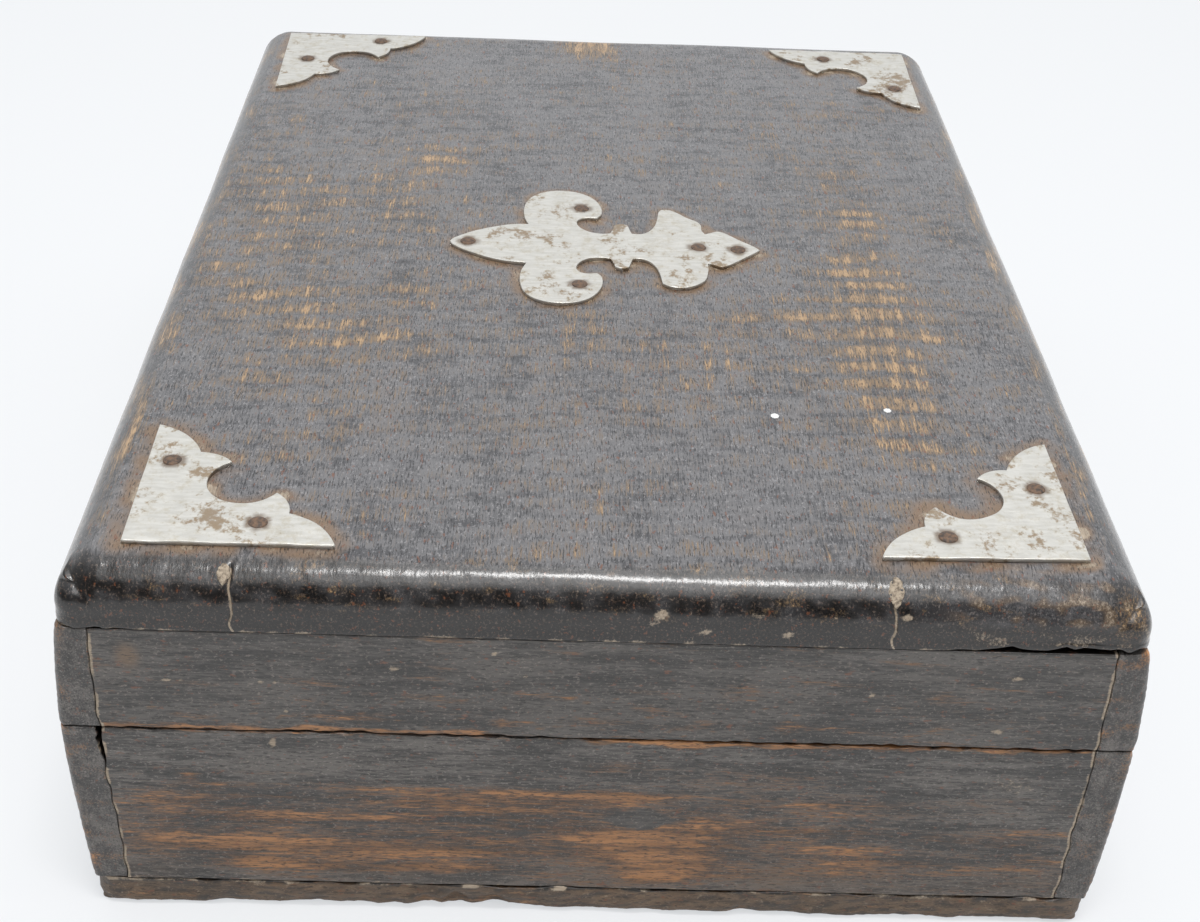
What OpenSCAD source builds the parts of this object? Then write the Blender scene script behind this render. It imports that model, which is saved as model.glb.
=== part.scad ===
// A shallow wooden chest for silverware. Four boards make the body frame and four more
// make the lid frame: the long boards run the full length and cover the ends of the
// short ones, and all corners are nailed. The front is not quite square to the ends, so
// the chest is a little narrower at its right end. A thick top board with a rounded-over
// edge closes the lid, and a thin bottom board is nailed on below. The lid swings on two
// butt hinges let into the back boards. Pierced plates of sheet metal guard the four
// corners of the lid, and a fleur-de-lis plate is nailed to its middle.
// Sizes are in millimetres. X runs along the chest, Y from the front to the hinges and
// Z up, and the origin is the middle of the underside.

/* [Overall] */
// Length of the chest
chest_l = 275; // [230:5:380]
// Depth of the chest at its left end and at the seam, from front to back
chest_d = 210.8; // [170:0.1:280]
// How much narrower the slanting front makes the chest at its right end
front_taper = 5.5; // [0:0.1:7]
// How much narrower the slanting back edge makes the top board at its right end
top_back_taper = 2; // [0:0.1:2.5]
// Height of the body frame without the bottom board
body_h = 40.8; // [36:0.1:80]
// Height of the lid frame without the top board
lid_h = 24.3; // [18:0.1:50]
// Gap between the body and the shut lid
seam_gap = 0.3; // [0.2:0.05:0.6]

/* [Boards] */
// Thickness of the long boards of both frames
long_board_t = 8.2; // [7.5:0.1:12]
// Thickness of the end boards of both frames
end_board_t = 8.2; // [7:0.1:12]
// Thickness of the bottom board
bottom_t = 7.5; // [5.5:0.1:12]
// Thickness of the top board
top_t = 13.2; // [11:0.1:18]
// How far front and back lean in from the seam down to the bottom board
body_lean = 2.3; // [0:0.1:3]
// How far front and back lean in from the seam up to the top board
lid_lean = 1.9; // [0:0.1:2.5]

/* [Rounded edges] */
// Radius of the rounded-over edge of the top board
top_edge_r = 9.2; // [4:0.1:9.4]
// Radius of the top board's corners at the left end, seen from above
top_left_corner_r = 3.5; // [2:0.5:9]
// Radius of the top board's corners at the right end, seen from above
top_right_corner_r = 9; // [2:0.5:9]
// Radius of the lower edge of the bottom board
bottom_edge_r = 1.5; // [1:0.1:3]
// Radius of the bottom board's corners, seen from above
bottom_corner_r = 3; // [2:0.5:9]
// Radius of the upright corners of both frames
arris_r = 2; // [0.5:0.1:3]

/* [Partitions] */
// Thickness of a partition
partition_t = 5; // [4:0.1:7]
// Height of a partition
partition_h = 32; // [20:0.5:34]
// Depth of the grooves that hold the partitions' ends
groove_depth = 2; // [1.5:0.1:3]
// Clearance of a partition in its grooves, on each face
groove_clear = 0.15; // [0.1:0.05:0.3]

/* [Hinges] */
// Length of a hinge
hinge_l = 32; // [25:1:45]
// Distance from an end of the chest to the middle of the nearer hinge
hinge_in = 61; // [45:1:80]
// Width of a leaf, from its inner edge to the face of the back board
leaf_w = 6.4; // [5.5:0.1:6.6]
// Thickness of a leaf
leaf_t = 1; // [0.9:0.05:1.3]
// Gap between the two leaves of a shut hinge
leaf_gap = 0.16; // [0.1:0.02:0.2]
// Radius of the barrel
barrel_r = 2.2; // [2:0.1:2.8]
// Clearance between the barrel and the wood, and from knuckle to knuckle
barrel_clear = 0.2; // [0.15:0.05:0.4]
// Radius of the pin
pin_r = 1; // [0.8:0.05:1.2]
// Running clearance of the pin in the knuckles
pin_clear = 0.06; // [0.03:0.01:0.09]
// Radius of the pin's riveted ends
pin_head_r = 1.7; // [1.4:0.1:1.9]
// Length of each riveted end
pin_head_l = 0.8; // [0.5:0.1:1.2]
// Clearance of the let-in leaves in the wood
mortise_clear = 0.1; // [0.05:0.05:0.2]

/* [Hinge screws] */
// Distance from screw to screw along a leaf
screw_pitch = 10.5; // [8:0.5:12]
// Length of a screw
screw_l = 9; // [7:0.5:12]
// Radius of a screw's shank
screw_r = 0.8; // [0.7:0.05:0.9]
// Radius of a screw's countersunk head
screw_head_r = 1.5; // [1.3:0.05:1.7]
// Height of a screw's countersunk head
screw_head_h = 0.75; // [0.6:0.05:0.8]
// Height of the straight rim of a screw's head
screw_head_rim = 0.3; // [0.2:0.05:0.4]
// Depth of the slot across a screw's head
screw_slot = 0.2; // [0.1:0.05:0.2]

/* [Nails of the boards] */
// Radius of a board nail's shank
nail_r = 0.8; // [0.6:0.05:1]
// Radius of a board nail's head
nail_head_r = 1.6; // [1.3:0.1:2]
// Thickness of a board nail's head
nail_head_t = 0.8; // [0.5:0.1:1.2]
// Length of a frame corner nail
corner_nail_l = 22; // [16:1:30]
// Distance of a frame corner nail from the edges of the boards
corner_nail_in = 6; // [4:0.5:8]
// Length of a bottom nail
bottom_nail_l = 19; // [14:1:24]
// Distance from bottom nail to bottom nail along a long board
bottom_nail_pitch = 68; // [50:1:74]
// How far the heads of corner and bottom nails are sunk
nail_sink = 0.5; // [0.4:0.1:1.2]
// Length of a top board nail
top_nail_l = 24; // [18:1:26]
// How deep the heads of the top board nails lie below the top
plug_depth = 7; // [5:0.5:8]
// Radius of the filler plugs over the top board nails
plug_r = 1.8; // [1.8:0.1:2.2]
// Distance of the rear top board nails from the back of the chest
top_nail_back_in = 34; // [25:0.1:60]
// Distance of the front top board nails from the front at the left end
top_nail_front_in = 51.4; // [30:0.1:60]
// Clearance of nails, plugs and screws in the wood
nail_clear = 0.05; // [0.03:0.01:0.1]

/* [Sheet metal plates] */
// Thickness of the plates
plate_t = 0.9; // [0.6:0.1:1.5]
// Length of each leg of a corner plate
corner_plate_leg = 40; // [30:0.5:44]
// Distance of a corner plate from the end of the chest
plate_end_in = 9.5; // [9.5:0.1:16]
// Distance of a corner plate from the front or back at the left end
plate_side_in = 14; // [12:0.1:20]
// Length of the fleur-de-lis plate
fleur_l = 75; // [55:1:85]
// How far the fleur-de-lis plate lies off the middle, towards the left end
fleur_off = 3.5; // [0:0.5:10]
// Radius of a plate nail's shank
tack_r = 0.75; // [0.6:0.05:0.9]
// Radius of a plate nail's head
tack_head_r = 1.9; // [1.5:0.1:2.2]
// Height of a plate nail's low domed head
tack_head_h = 0.4; // [0.3:0.1:0.8]
// Length of a plate nail below the plate
tack_l = 8; // [6:0.5:10]

/* [Hidden] */
$fn = 64;

// Colours
WOOD = [0.17, 0.14, 0.13];
INNER_WOOD = [0.30, 0.20, 0.13];
SHEET = [0.78, 0.78, 0.75];
IRON = [0.24, 0.19, 0.17];
BRASS = [0.55, 0.43, 0.22];
FILLER = [0.62, 0.53, 0.42];

// Heights, from the ground up
rim_z = bottom_t + body_h;
lid_z = rim_z + seam_gap;
top_z = lid_z + lid_h;
crown_z = top_z + top_t;

// Insides of both frames
inner_x = chest_l / 2 - end_board_t;
inner_y = chest_d / 2 - long_board_t;
trough_w = (2 * inner_y - 2 * partition_t) / 3;
partition_y = trough_w / 2 + partition_t / 2;

// A cut runs this far past the face that it opens
past = 1;
// What rounds the upright corners stands this far outside the front and back faces
hair = 0.02;

// Hinge axis: just behind the back boards, halfway up the seam gap
axis_y = chest_d / 2 + barrel_clear + barrel_r;
axis_z = rim_z + seam_gap / 2;
knuckles = 5;
knuckle_l = hinge_l / knuckles;
screw_y = chest_d / 2 - leaf_w / 2;

// The front of the chest is turned by this angle about its left end
taper = atan(front_taper / chest_l);

// Nails of the bottom stand in from the rounded edge, with wood all round their heads
bottom_nail_in = body_lean + max(bottom_edge_r, nail_head_r + 1.2);
bottom_nail_xs = [for (k = [-1.5, -0.5, 0.5, 1.5]) k * bottom_nail_pitch];
bottom_nail_y = (partition_y + inner_y) / 2;
top_nail_x = chest_l / 2 - end_board_t / 2;
top_nail_ys = [chest_d / 2 - top_nail_back_in, top_nail_front_in - chest_d / 2];

// The corner plate is drawn with legs of 40 and the fleur-de-lis 75 long
corner_scale = corner_plate_leg / 40;
fleur_scale = fleur_l / 75;

// Corner plates, each nailed on by eye: [end, side, shift in X, shift in Y, turn]. End is
// -1 on the left and 1 on the right, side 1 at the back and -1 at the front.
PLATE_SPOTS = [
    [-1, 1, -0.3, -0.2, 0.1],
    [-1, -1, 1.8, 0.3, -1.4],
    [1, 1, 1.3, 0.9, -1.1],
    [1, -1, 1.8, -1.4, -0.1]
];
// The two nails of each corner plate: [along the end, along the side], from its corner
PLATE_TACKS = [
    [[24.6, 6.6], [4.9, 26.9]],
    [[26.2, 6.6], [5.5, 23.4]],
    [[27.0, 4.8], [7.0, 19.5]],
    [[24.3, 6.3], [5.8, 27.0]]
];

// Half of the fleur-de-lis outline, from the tip of the middle petal to the tip of the
// tail: each stretch is one smooth curve, and stretches meet at corners.
PETAL = [[-37.3, 0], [-36.2, 2], [-32.6, 5], [-28.4, 7.5], [-23.5, 9.3], [-18.6, 10.1]];
SIDE_LOBE = [[-18.6, 10.1], [-19.7, 14], [-19.9, 19], [-18.7, 24.2], [-15.5, 27.8],
    [-11, 29.2], [-6, 28.1], [-2.5, 25], [-0.7, 20.5], [-0.6, 16.6], [-1.8, 14.3]];
HOOK = [[-1.8, 14.3], [-4, 14.6], [-5.9, 13.9], [-6.7, 12], [-6, 9.2], [-3.8, 7],
    [-1, 6.3], [1.5, 6.6]];
BAND = [[1.5, 6.6], [2.2, 9], [2.7, 11], [4.2, 11.6], [5.7, 11], [6.3, 8.6], [6.8, 6.6]];
FLARE = [[6.8, 6.6], [8.8, 6.4], [10.8, 7.6], [12.3, 10.4], [13.1, 14], [13.6, 18.4]];
// The two lobes of the tail were filed unlike each other: one pointed, one round
POINTED_LOBE = [[13.6, 18.4], [14.4, 20], [16, 20.3], [17.8, 19.2], [20.5, 16.3],
    [23, 14.4], [24, 12], [24, 9.4], [24.8, 7.4]];
ROUND_LOBE = [[13.6, 18.4], [15.2, 19.6], [18, 20], [21, 19], [23.6, 16.2], [24.6, 12],
    [24.8, 7.4]];
TAIL = [[24.8, 7.4], [26.3, 8.3], [28.1, 9.1], [30.2, 7.8], [33.5, 4.4], [36.4, 1.6],
    [37.7, 0]];
// Nails of the fleur-de-lis: [along its axis, across]
FLEUR_TACKS = [[-32.9, 0], [-5.6, 19.4], [-5.9, -20], [22.8, 0.2], [32.4, -0.3]];
// Straight pieces of each span of a smooth curve
SPAN_STEPS = 4;

// Point at share t of the smooth curve from b to c, with a before and d after them
function curve_point(a, b, c, d, t) =
    0.5 * (2 * b + (c - a) * t + (2 * a - 5 * b + 4 * c - d) * t * t
        + (3 * b - a - 3 * c + d) * t * t * t);

// A smooth curve through all points of p, without its last point
function smooth(p) = [
    for (i = [0 : len(p) - 2], k = [0 : SPAN_STEPS - 1])
        curve_point(p[max(i - 1, 0)], p[i], p[i + 1], p[min(i + 2, len(p) - 1)], k / SPAN_STEPS)
];

// One half of the fleur-de-lis outline, with one of the two lobes on its tail
function fleur_half(lobe) = concat(smooth(PETAL), smooth(SIDE_LOBE), smooth(HOOK),
    smooth(BAND), smooth(FLARE), smooth(lobe), smooth(TAIL));

// The whole outline: down one side and back up the other, in mirror image
function fleur_outline() =
    let (back = fleur_half(ROUND_LOBE))
    concat(fleur_half(POINTED_LOBE), [TAIL[len(TAIL) - 1]],
        [for (i = [len(back) - 1 : -1 : 1]) [back[i].x, -back[i].y]]);

// Where the leaning front and back faces are at height z
function body_face_y(z) = chest_d / 2 - body_lean * (rim_z - z) / body_h;
function lid_face_y(z) = chest_d / 2 - lid_lean * (z - lid_z) / lid_h;

// Runs a shape drawn in Y and Z along the chest
module along_chest(l) {
    rotate([90, 0, 90])
        linear_extrude(l, center = true)
            children();
}

// The same at the front and at the back, as mirror images
module front_and_back() {
    children();
    mirror([0, 1, 0])
        children();
}

// Brings what is drawn at the back to the slanting front
module to_front() {
    translate([-chest_l / 2, -chest_d / 2, 0])
        rotate([0, 0, taper])
            translate([chest_l / 2, chest_d / 2, 0])
                mirror([0, 1, 0])
                    children();
}

// The same at the back and at the slanting front
module back_and_slanting_front() {
    children();
    to_front()
        children();
}

// The same at the left and at the right, as mirror images
module left_and_right() {
    children();
    mirror([1, 0, 0])
        children();
}

// Corner b of an outline, between corners a and c, rounded with radius r: where the
// rounding starts and ends, and the middle of its circle
function along(b, a) = (a - b) / norm(a - b);
function rounding(b, a, c, r) =
    let (u = along(b, a), v = along(b, c), sine = abs(cross(u, v)))
    [b + u * r * (1 + u * v) / sine, b + v * r * (1 + u * v) / sine, b + (u + v) * r / sine];

// Outline with four corners, each rounded with its own radius
module rounded_outline(corners, radii) {
    rounds = [
        for (k = [0 : 3])
            rounding(corners[k], corners[(k + 3) % 4], corners[(k + 1) % 4], radii[k])
    ];
    polygon([for (k = rounds, i = [0, 1]) k[i]]);
    for (k = [0 : 3])
        translate(rounds[k][2])
            circle(radii[k]);
}

// Corners of the chest in plan, anticlockwise from the front left, with front and back
// drawn in by lean and the back slanting in by back_taper
function plan_corners(lean, back_taper) = [
    [-chest_l / 2, lean - chest_d / 2],
    [chest_l / 2, lean - chest_d / 2 + front_taper],
    [chest_l / 2, chest_d / 2 - lean - back_taper],
    [-chest_l / 2, chest_d / 2 - lean]
];

// Block of height t to the left of the line from p to q, with the upper edge along that
// line rounded over
module edge_block(p, q, t, r) {
    side = chest_l + chest_d;
    translate([p.x, p.y, 0])
        rotate([0, 0, atan2(q.y - p.y, q.x - p.x)])
            along_chest(2 * side) {
                square([side, t - r]);
                translate([r, 0])
                    square([side - r, t]);
                translate([r, t - r])
                    circle(r);
            }
}

// Board with one face rounded over all round: the face is on top
module rounded_board(lean, back_taper, radii, t, edge_r) {
    corners = plan_corners(lean, back_taper);
    intersection() {
        linear_extrude(t)
            rounded_outline(plan_corners(lean - hair, back_taper), radii);
        edge_block(corners[0], corners[1], t, edge_r);
        edge_block(corners[1], corners[2], t, edge_r);
        edge_block(corners[2], corners[3], t, edge_r);
        edge_block(corners[3], corners[0], t, edge_r);
    }
}

// Plan of both frames from z_low to z_high, with rounded upright corners
module frame_block(z_low, z_high) {
    translate([0, 0, z_low])
        linear_extrude(z_high - z_low)
            rounded_outline(plan_corners(-hair, 0), arris_r * [1, 1, 1, 1]);
}

// Strip that a long board is cut from, at the back: its outer face goes from y_low to
// y_high as it rises from z_low to z_high
module long_strip(z_low, z_high, y_low, y_high) {
    along_chest(chest_l + 4 * past)
        polygon([[inner_y, z_low], [y_low, z_low], [y_high, z_high], [inner_y, z_high]]);
}

// End board of a frame between the long boards: side is -1 on the left and 1 on the right
module end_board(side, z_low, z_high) {
    intersection() {
        translate([side * (inner_x + end_board_t / 2) - end_board_t / 2, -chest_d / 2, z_low])
            cube([end_board_t, chest_d / 2 + inner_y, z_high - z_low]);
        // Everything behind the front boards
        to_front()
            translate([-chest_l, inner_y - 2 * chest_d, z_low - past])
                cube([2 * chest_l, 2 * chest_d, z_high - z_low + 2 * past]);
    }
}

// Nail pointing down, the top of its head at the origin
module nail(l, r, head_r, head_t) {
    translate([0, 0, -head_t])
        cylinder(h = head_t, r = head_r);
    translate([0, 0, 2 * r - l])
        cylinder(h = l - 2 * r - head_t / 2, r = r);
    translate([0, 0, -l])
        cylinder(h = 2 * r, r1 = r / 5, r2 = r);
}

// Hole for that nail, its head sunk below the face
module nail_hole(l, r, head_r, head_t) {
    translate([0, 0, -head_t - nail_clear])
        cylinder(h = head_t + nail_clear + nail_sink + past, r = head_r + nail_clear);
    translate([0, 0, -l - nail_clear])
        cylinder(h = l, r = r + nail_clear);
}

// Places what points down so that it points into the back board, from its outer face
module into_back(x, y, z) {
    translate([x, y - nail_sink, z])
        rotate([-90, 0, 0])
            children();
}

// The nails at the four corners of a frame, two to a corner
module at_body_corners() {
    back_and_slanting_front() left_and_right()
        for (z = [bottom_t + corner_nail_in, rim_z - corner_nail_in])
            into_back(top_nail_x, body_face_y(z), z)
                children();
}

module at_lid_corners() {
    back_and_slanting_front() left_and_right()
        for (z = [lid_z + corner_nail_in, top_z - corner_nail_in])
            into_back(top_nail_x, lid_face_y(z), z)
                children();
}

module corner_nail() {
    nail(corner_nail_l, nail_r, nail_head_r, nail_head_t);
}

module corner_nail_hole() {
    nail_hole(corner_nail_l, nail_r, nail_head_r, nail_head_t);
}

// Bottom nails: driven up into the long boards and into the end boards
module at_bottom_nails() {
    back_and_slanting_front()
        for (x = bottom_nail_xs)
            translate([x, chest_d / 2 - bottom_nail_in, nail_sink])
                rotate([180, 0, 0])
                    children();
    front_and_back() left_and_right()
        translate([chest_l / 2 - bottom_nail_in, bottom_nail_y, nail_sink])
            rotate([180, 0, 0])
                children();
}

module bottom_nail() {
    nail(bottom_nail_l, nail_r, nail_head_r, nail_head_t);
}

module bottom_nail_hole() {
    nail_hole(bottom_nail_l, nail_r, nail_head_r, nail_head_t);
}

// Top board nails: driven down into the end boards, under plugs of filler
module at_top_nails() {
    left_and_right()
        for (y = top_nail_ys)
            translate([top_nail_x, y, crown_z - plug_depth])
                children();
}

module top_nail() {
    nail(top_nail_l, nail_r, nail_head_r, nail_head_t);
}

module top_nail_hole() {
    nail_hole(top_nail_l, nail_r, nail_head_r, nail_head_t);
    cylinder(h = plug_depth + past, r = plug_r + nail_clear);
}

// Places a hinge at its middle, on its axis
module at_hinge(side) {
    translate([side * (chest_l / 2 - hinge_in), axis_y, axis_z])
        children();
}

module at_both_hinges() {
    for (side = [-1, 1])
        at_hinge(side)
            children();
}

// Places the screws of a body leaf, the tops of their heads level with the leaf
module at_leaf_screws() {
    for (k = [-1, 0, 1])
        translate([k * screw_pitch, screw_y - axis_y, -leaf_gap / 2])
            children();
}

module screw() {
    difference() {
        union() {
            translate([0, 0, -screw_head_rim])
                cylinder(h = screw_head_rim, r = screw_head_r);
            translate([0, 0, -screw_head_h])
                cylinder(h = screw_head_h - screw_head_rim, r1 = screw_r, r2 = screw_head_r);
            translate([0, 0, 2 * screw_r - screw_l])
                cylinder(h = screw_l - 2 * screw_r - screw_head_h / 2, r = screw_r);
            translate([0, 0, -screw_l])
                cylinder(h = 2 * screw_r, r1 = screw_r / 5, r2 = screw_r);
        }
        // Slot across the head
        translate([-screw_head_r - past, -screw_r / 4, -screw_slot])
            cube([2 * (screw_head_r + past), screw_r / 2, screw_slot + past]);
    }
}

// Countersunk hole in a leaf
module leaf_screw_hole() {
    translate([0, 0, -leaf_t - past])
        cylinder(h = leaf_t + 2 * past, r = screw_r + nail_clear);
    translate([0, 0, -screw_head_rim])
        cylinder(h = screw_head_rim + past, r = screw_head_r + nail_clear);
    translate([0, 0, -screw_head_h])
        cylinder(h = screw_head_h - screw_head_rim, r1 = screw_r + nail_clear,
            r2 = screw_head_r + nail_clear);
}

module screw_pilot() {
    translate([0, 0, -screw_l - nail_clear])
        cylinder(h = screw_l, r = screw_r + nail_clear);
}

// Hinge leaf lying below the axis, with every second knuckle from number first on. The
// body leaf has knuckles 0, 2 and 4, and the lid leaf has 1 and 3.
module leaf(first) {
    difference() {
        union() {
            translate([-hinge_l / 2, chest_d / 2 - leaf_w - axis_y, -leaf_t - leaf_gap / 2])
                cube([hinge_l, leaf_w, leaf_t]);
            for (k = [first : 2 : knuckles - 1])
                translate([k * knuckle_l - hinge_l / 2 + barrel_clear / 2, 0, 0]) {
                    rotate([0, 90, 0])
                        cylinder(h = knuckle_l - barrel_clear, r = barrel_r);
                    translate([0, chest_d / 2 - leaf_t - axis_y, -leaf_t - leaf_gap / 2])
                        cube([knuckle_l - barrel_clear, axis_y - chest_d / 2 + leaf_t, leaf_t]);
                }
        }
        rotate([0, 90, 0])
            cylinder(h = hinge_l + 2 * past, r = pin_r + pin_clear, center = true);
        at_leaf_screws()
            leaf_screw_hole();
    }
}

// What turns a body leaf or its screws over into those of the lid
module turned_over() {
    mirror([0, 0, 1])
        children();
}

module hinge_pin() {
    rotate([0, 90, 0])
        cylinder(h = hinge_l + 2 * barrel_clear, r = pin_r, center = true);
    for (side = [-1, 1])
        translate([side * (hinge_l / 2 + pin_head_l / 2), 0, 0])
            rotate([0, 90, 0])
                cylinder(h = pin_head_l, r = pin_head_r, center = true);
}

// Wood taken out of the body's rim for one leaf and its screws
module leaf_mortise() {
    translate([-hinge_l / 2 - mortise_clear, chest_d / 2 - leaf_w - mortise_clear - axis_y,
            -leaf_t - leaf_gap / 2])
        cube([hinge_l + 2 * mortise_clear, leaf_w + mortise_clear + past, leaf_t + past]);
    at_leaf_screws()
        screw_pilot();
}

// Corner plate drawn flat: its outer corner at the origin, one leg along each axis. Each
// leg ends in a wing, whose curve meets a round lobe, and a round bay is cut between them.
module corner_plate_shape() {
    bay = [20.3, 7.5];
    lobe = [22.4, 10.4, 7.7];
    wing = [25.2, -4.6, 15.4];
    difference() {
        union() {
            square(bay[0]);
            for (flip = [0, 1])
                mirror([flip, -flip, 0]) {
                    translate([lobe[0], lobe[1]])
                        circle(lobe[2]);
                    intersection() {
                        translate([wing[0], wing[1]])
                            circle(wing[2]);
                        square(2 * bay[0]);
                    }
                }
        }
        translate([bay[0], bay[0]])
            circle(bay[1]);
    }
}

// Places what is drawn from a corner plate's corner, on top of the lid
module at_plate(i) {
    spot = PLATE_SPOTS[i];
    mirror([spot[0] > 0 ? 1 : 0, 0, 0])
        mirror([0, spot[1] < 0 ? 1 : 0, 0])
            translate([plate_end_in + spot[2] - chest_l / 2,
                    chest_d / 2 - plate_side_in + spot[3], crown_z])
                rotate([0, 0, spot[4] - 90])
                    children();
}

module at_plate_tacks(i) {
    at_plate(i)
        for (p = PLATE_TACKS[i])
            translate(corner_scale * [p.x, p.y, 0])
                children();
}

// The fleur-de-lis points to the back
module at_fleur() {
    translate([-fleur_off, 0, crown_z])
        rotate([0, 0, -90])
            children();
}

module at_fleur_tacks() {
    at_fleur()
        for (p = FLEUR_TACKS)
            translate(fleur_scale * [p.x, p.y, 0])
                children();
}

// Nail of a plate: a low domed head on the plate, and a pointed shank in the wood
module tack() {
    translate([0, 0, plate_t])
        cylinder(h = tack_head_h / 2, r1 = tack_head_r, r2 = 0.9 * tack_head_r);
    translate([0, 0, plate_t + tack_head_h / 2])
        cylinder(h = tack_head_h / 2, r1 = 0.9 * tack_head_r, r2 = tack_head_r / 2);
    translate([0, 0, 2 * tack_r - tack_l])
        cylinder(h = tack_l - 2 * tack_r + plate_t + tack_head_h / 2, r = tack_r);
    translate([0, 0, -tack_l])
        cylinder(h = 2 * tack_r, r1 = tack_r / 5, r2 = tack_r);
}

module tack_hole() {
    translate([0, 0, -tack_l - nail_clear])
        cylinder(h = tack_l + plate_t + past, r = tack_r + nail_clear);
}

module bottom_board() {
    color(WOOD)
        difference() {
            translate([0, 0, bottom_t])
                mirror([0, 0, 1])
                    rounded_board(body_lean, 0, bottom_corner_r * [1, 1, 1, 1], bottom_t,
                        bottom_edge_r);
            at_bottom_nails()
                bottom_nail_hole();
        }
}

// End board of the body, with a stopped groove for each partition
module body_end(side) {
    difference() {
        end_board(side, bottom_t, rim_z);
        front_and_back() left_and_right()
            translate([-inner_x - groove_depth, partition_y - partition_t / 2 - groove_clear,
                    bottom_t - past])
                cube([groove_depth + past, partition_t + 2 * groove_clear,
                    partition_h + groove_clear + past]);
        at_bottom_nails()
            bottom_nail_hole();
        at_body_corners()
            corner_nail_hole();
    }
}

module body_end_left() {
    color(WOOD)
        body_end(-1);
}

module body_end_right() {
    color(WOOD)
        body_end(1);
}

// Strip for a long board of the body, at the back
module body_long_strip() {
    long_strip(bottom_t, rim_z, body_face_y(bottom_t), body_face_y(rim_z));
}

module body_front() {
    color(WOOD)
        difference() {
            intersection() {
                to_front()
                    body_long_strip();
                frame_block(bottom_t, rim_z);
            }
            at_bottom_nails()
                bottom_nail_hole();
            at_body_corners()
                corner_nail_hole();
        }
}

module body_back() {
    color(WOOD)
        difference() {
            intersection() {
                body_long_strip();
                frame_block(bottom_t, rim_z);
            }
            at_bottom_nails()
                bottom_nail_hole();
            at_body_corners()
                corner_nail_hole();
            at_both_hinges()
                leaf_mortise();
        }
}

// Partition at the back: its ends stand in the grooves of the end boards
module partition() {
    l = 2 * (inner_x + groove_depth - groove_clear);
    translate([-l / 2, partition_y - partition_t / 2, bottom_t])
        cube([l, partition_t, partition_h]);
}

module partition_front() {
    color(INNER_WOOD)
        mirror([0, 1, 0])
            partition();
}

module partition_back() {
    color(INNER_WOOD)
        partition();
}

module body_corner_nails() {
    color(IRON)
        at_body_corners()
            corner_nail();
}

module bottom_nails() {
    color(IRON)
        at_bottom_nails()
            bottom_nail();
}

module hinge_left_body_leaf() {
    color(BRASS)
        at_hinge(-1)
            leaf(0);
}

module hinge_right_body_leaf() {
    color(BRASS)
        at_hinge(1)
            leaf(0);
}

module hinge_left_pin() {
    color(BRASS)
        at_hinge(-1)
            hinge_pin();
}

module hinge_right_pin() {
    color(BRASS)
        at_hinge(1)
            hinge_pin();
}

module body_hinge_screws() {
    color(BRASS)
        at_both_hinges() at_leaf_screws()
            screw();
}

module lid_end(side) {
    difference() {
        end_board(side, lid_z, top_z);
        at_top_nails()
            top_nail_hole();
        at_lid_corners()
            corner_nail_hole();
    }
}

module lid_end_left() {
    color(WOOD)
        lid_end(-1);
}

module lid_end_right() {
    color(WOOD)
        lid_end(1);
}

// Strip for a long board of the lid, at the back
module lid_long_strip() {
    long_strip(lid_z, top_z, lid_face_y(lid_z), lid_face_y(top_z));
}

module lid_front() {
    color(WOOD)
        difference() {
            intersection() {
                to_front()
                    lid_long_strip();
                frame_block(lid_z, top_z);
            }
            at_lid_corners()
                corner_nail_hole();
        }
}

module lid_back() {
    color(WOOD)
        difference() {
            intersection() {
                lid_long_strip();
                frame_block(lid_z, top_z);
            }
            at_lid_corners()
                corner_nail_hole();
            at_both_hinges() turned_over()
                leaf_mortise();
        }
}

module lid_corner_nails() {
    color(IRON)
        at_lid_corners()
            corner_nail();
}

// Top board before it is drilled
module top_blank() {
    translate([0, 0, top_z])
        rounded_board(lid_lean, top_back_taper,
            [top_left_corner_r, top_right_corner_r, top_right_corner_r, top_left_corner_r],
            top_t, top_edge_r);
}

module lid_top() {
    color(WOOD)
        difference() {
            top_blank();
            at_top_nails()
                top_nail_hole();
            for (i = [0 : len(PLATE_SPOTS) - 1])
                at_plate_tacks(i)
                    tack_hole();
            at_fleur_tacks()
                tack_hole();
        }
}

module lid_top_nails() {
    color(IRON)
        at_top_nails()
            top_nail();
}

// The plugs are trimmed to the rounded edge
module nail_plugs() {
    color(FILLER)
        intersection() {
            at_top_nails()
                cylinder(h = plug_depth + past, r = plug_r);
            top_blank();
        }
}

module hinge_left_lid_leaf() {
    color(BRASS)
        at_hinge(-1) turned_over()
            leaf(1);
}

module hinge_right_lid_leaf() {
    color(BRASS)
        at_hinge(1) turned_over()
            leaf(1);
}

module lid_hinge_screws() {
    color(BRASS)
        at_both_hinges() turned_over() at_leaf_screws()
            screw();
}

module corner_plate(i) {
    color(SHEET)
        difference() {
            at_plate(i)
                linear_extrude(plate_t)
                    scale(corner_scale)
                        corner_plate_shape();
            at_plate_tacks(i)
                tack_hole();
        }
}

module corner_plate_back_left() {
    corner_plate(0);
}

module corner_plate_front_left() {
    corner_plate(1);
}

module corner_plate_back_right() {
    corner_plate(2);
}

module corner_plate_front_right() {
    corner_plate(3);
}

module corner_plate_nails() {
    color(IRON)
        for (i = [0 : len(PLATE_SPOTS) - 1])
            at_plate_tacks(i)
                tack();
}

module fleur_plate() {
    color(SHEET)
        difference() {
            at_fleur()
                linear_extrude(plate_t)
                    scale(fleur_scale)
                        polygon(fleur_outline());
            at_fleur_tacks()
                tack_hole();
        }
}

module fleur_plate_nails() {
    color(IRON)
        at_fleur_tacks()
            tack();
}

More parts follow.
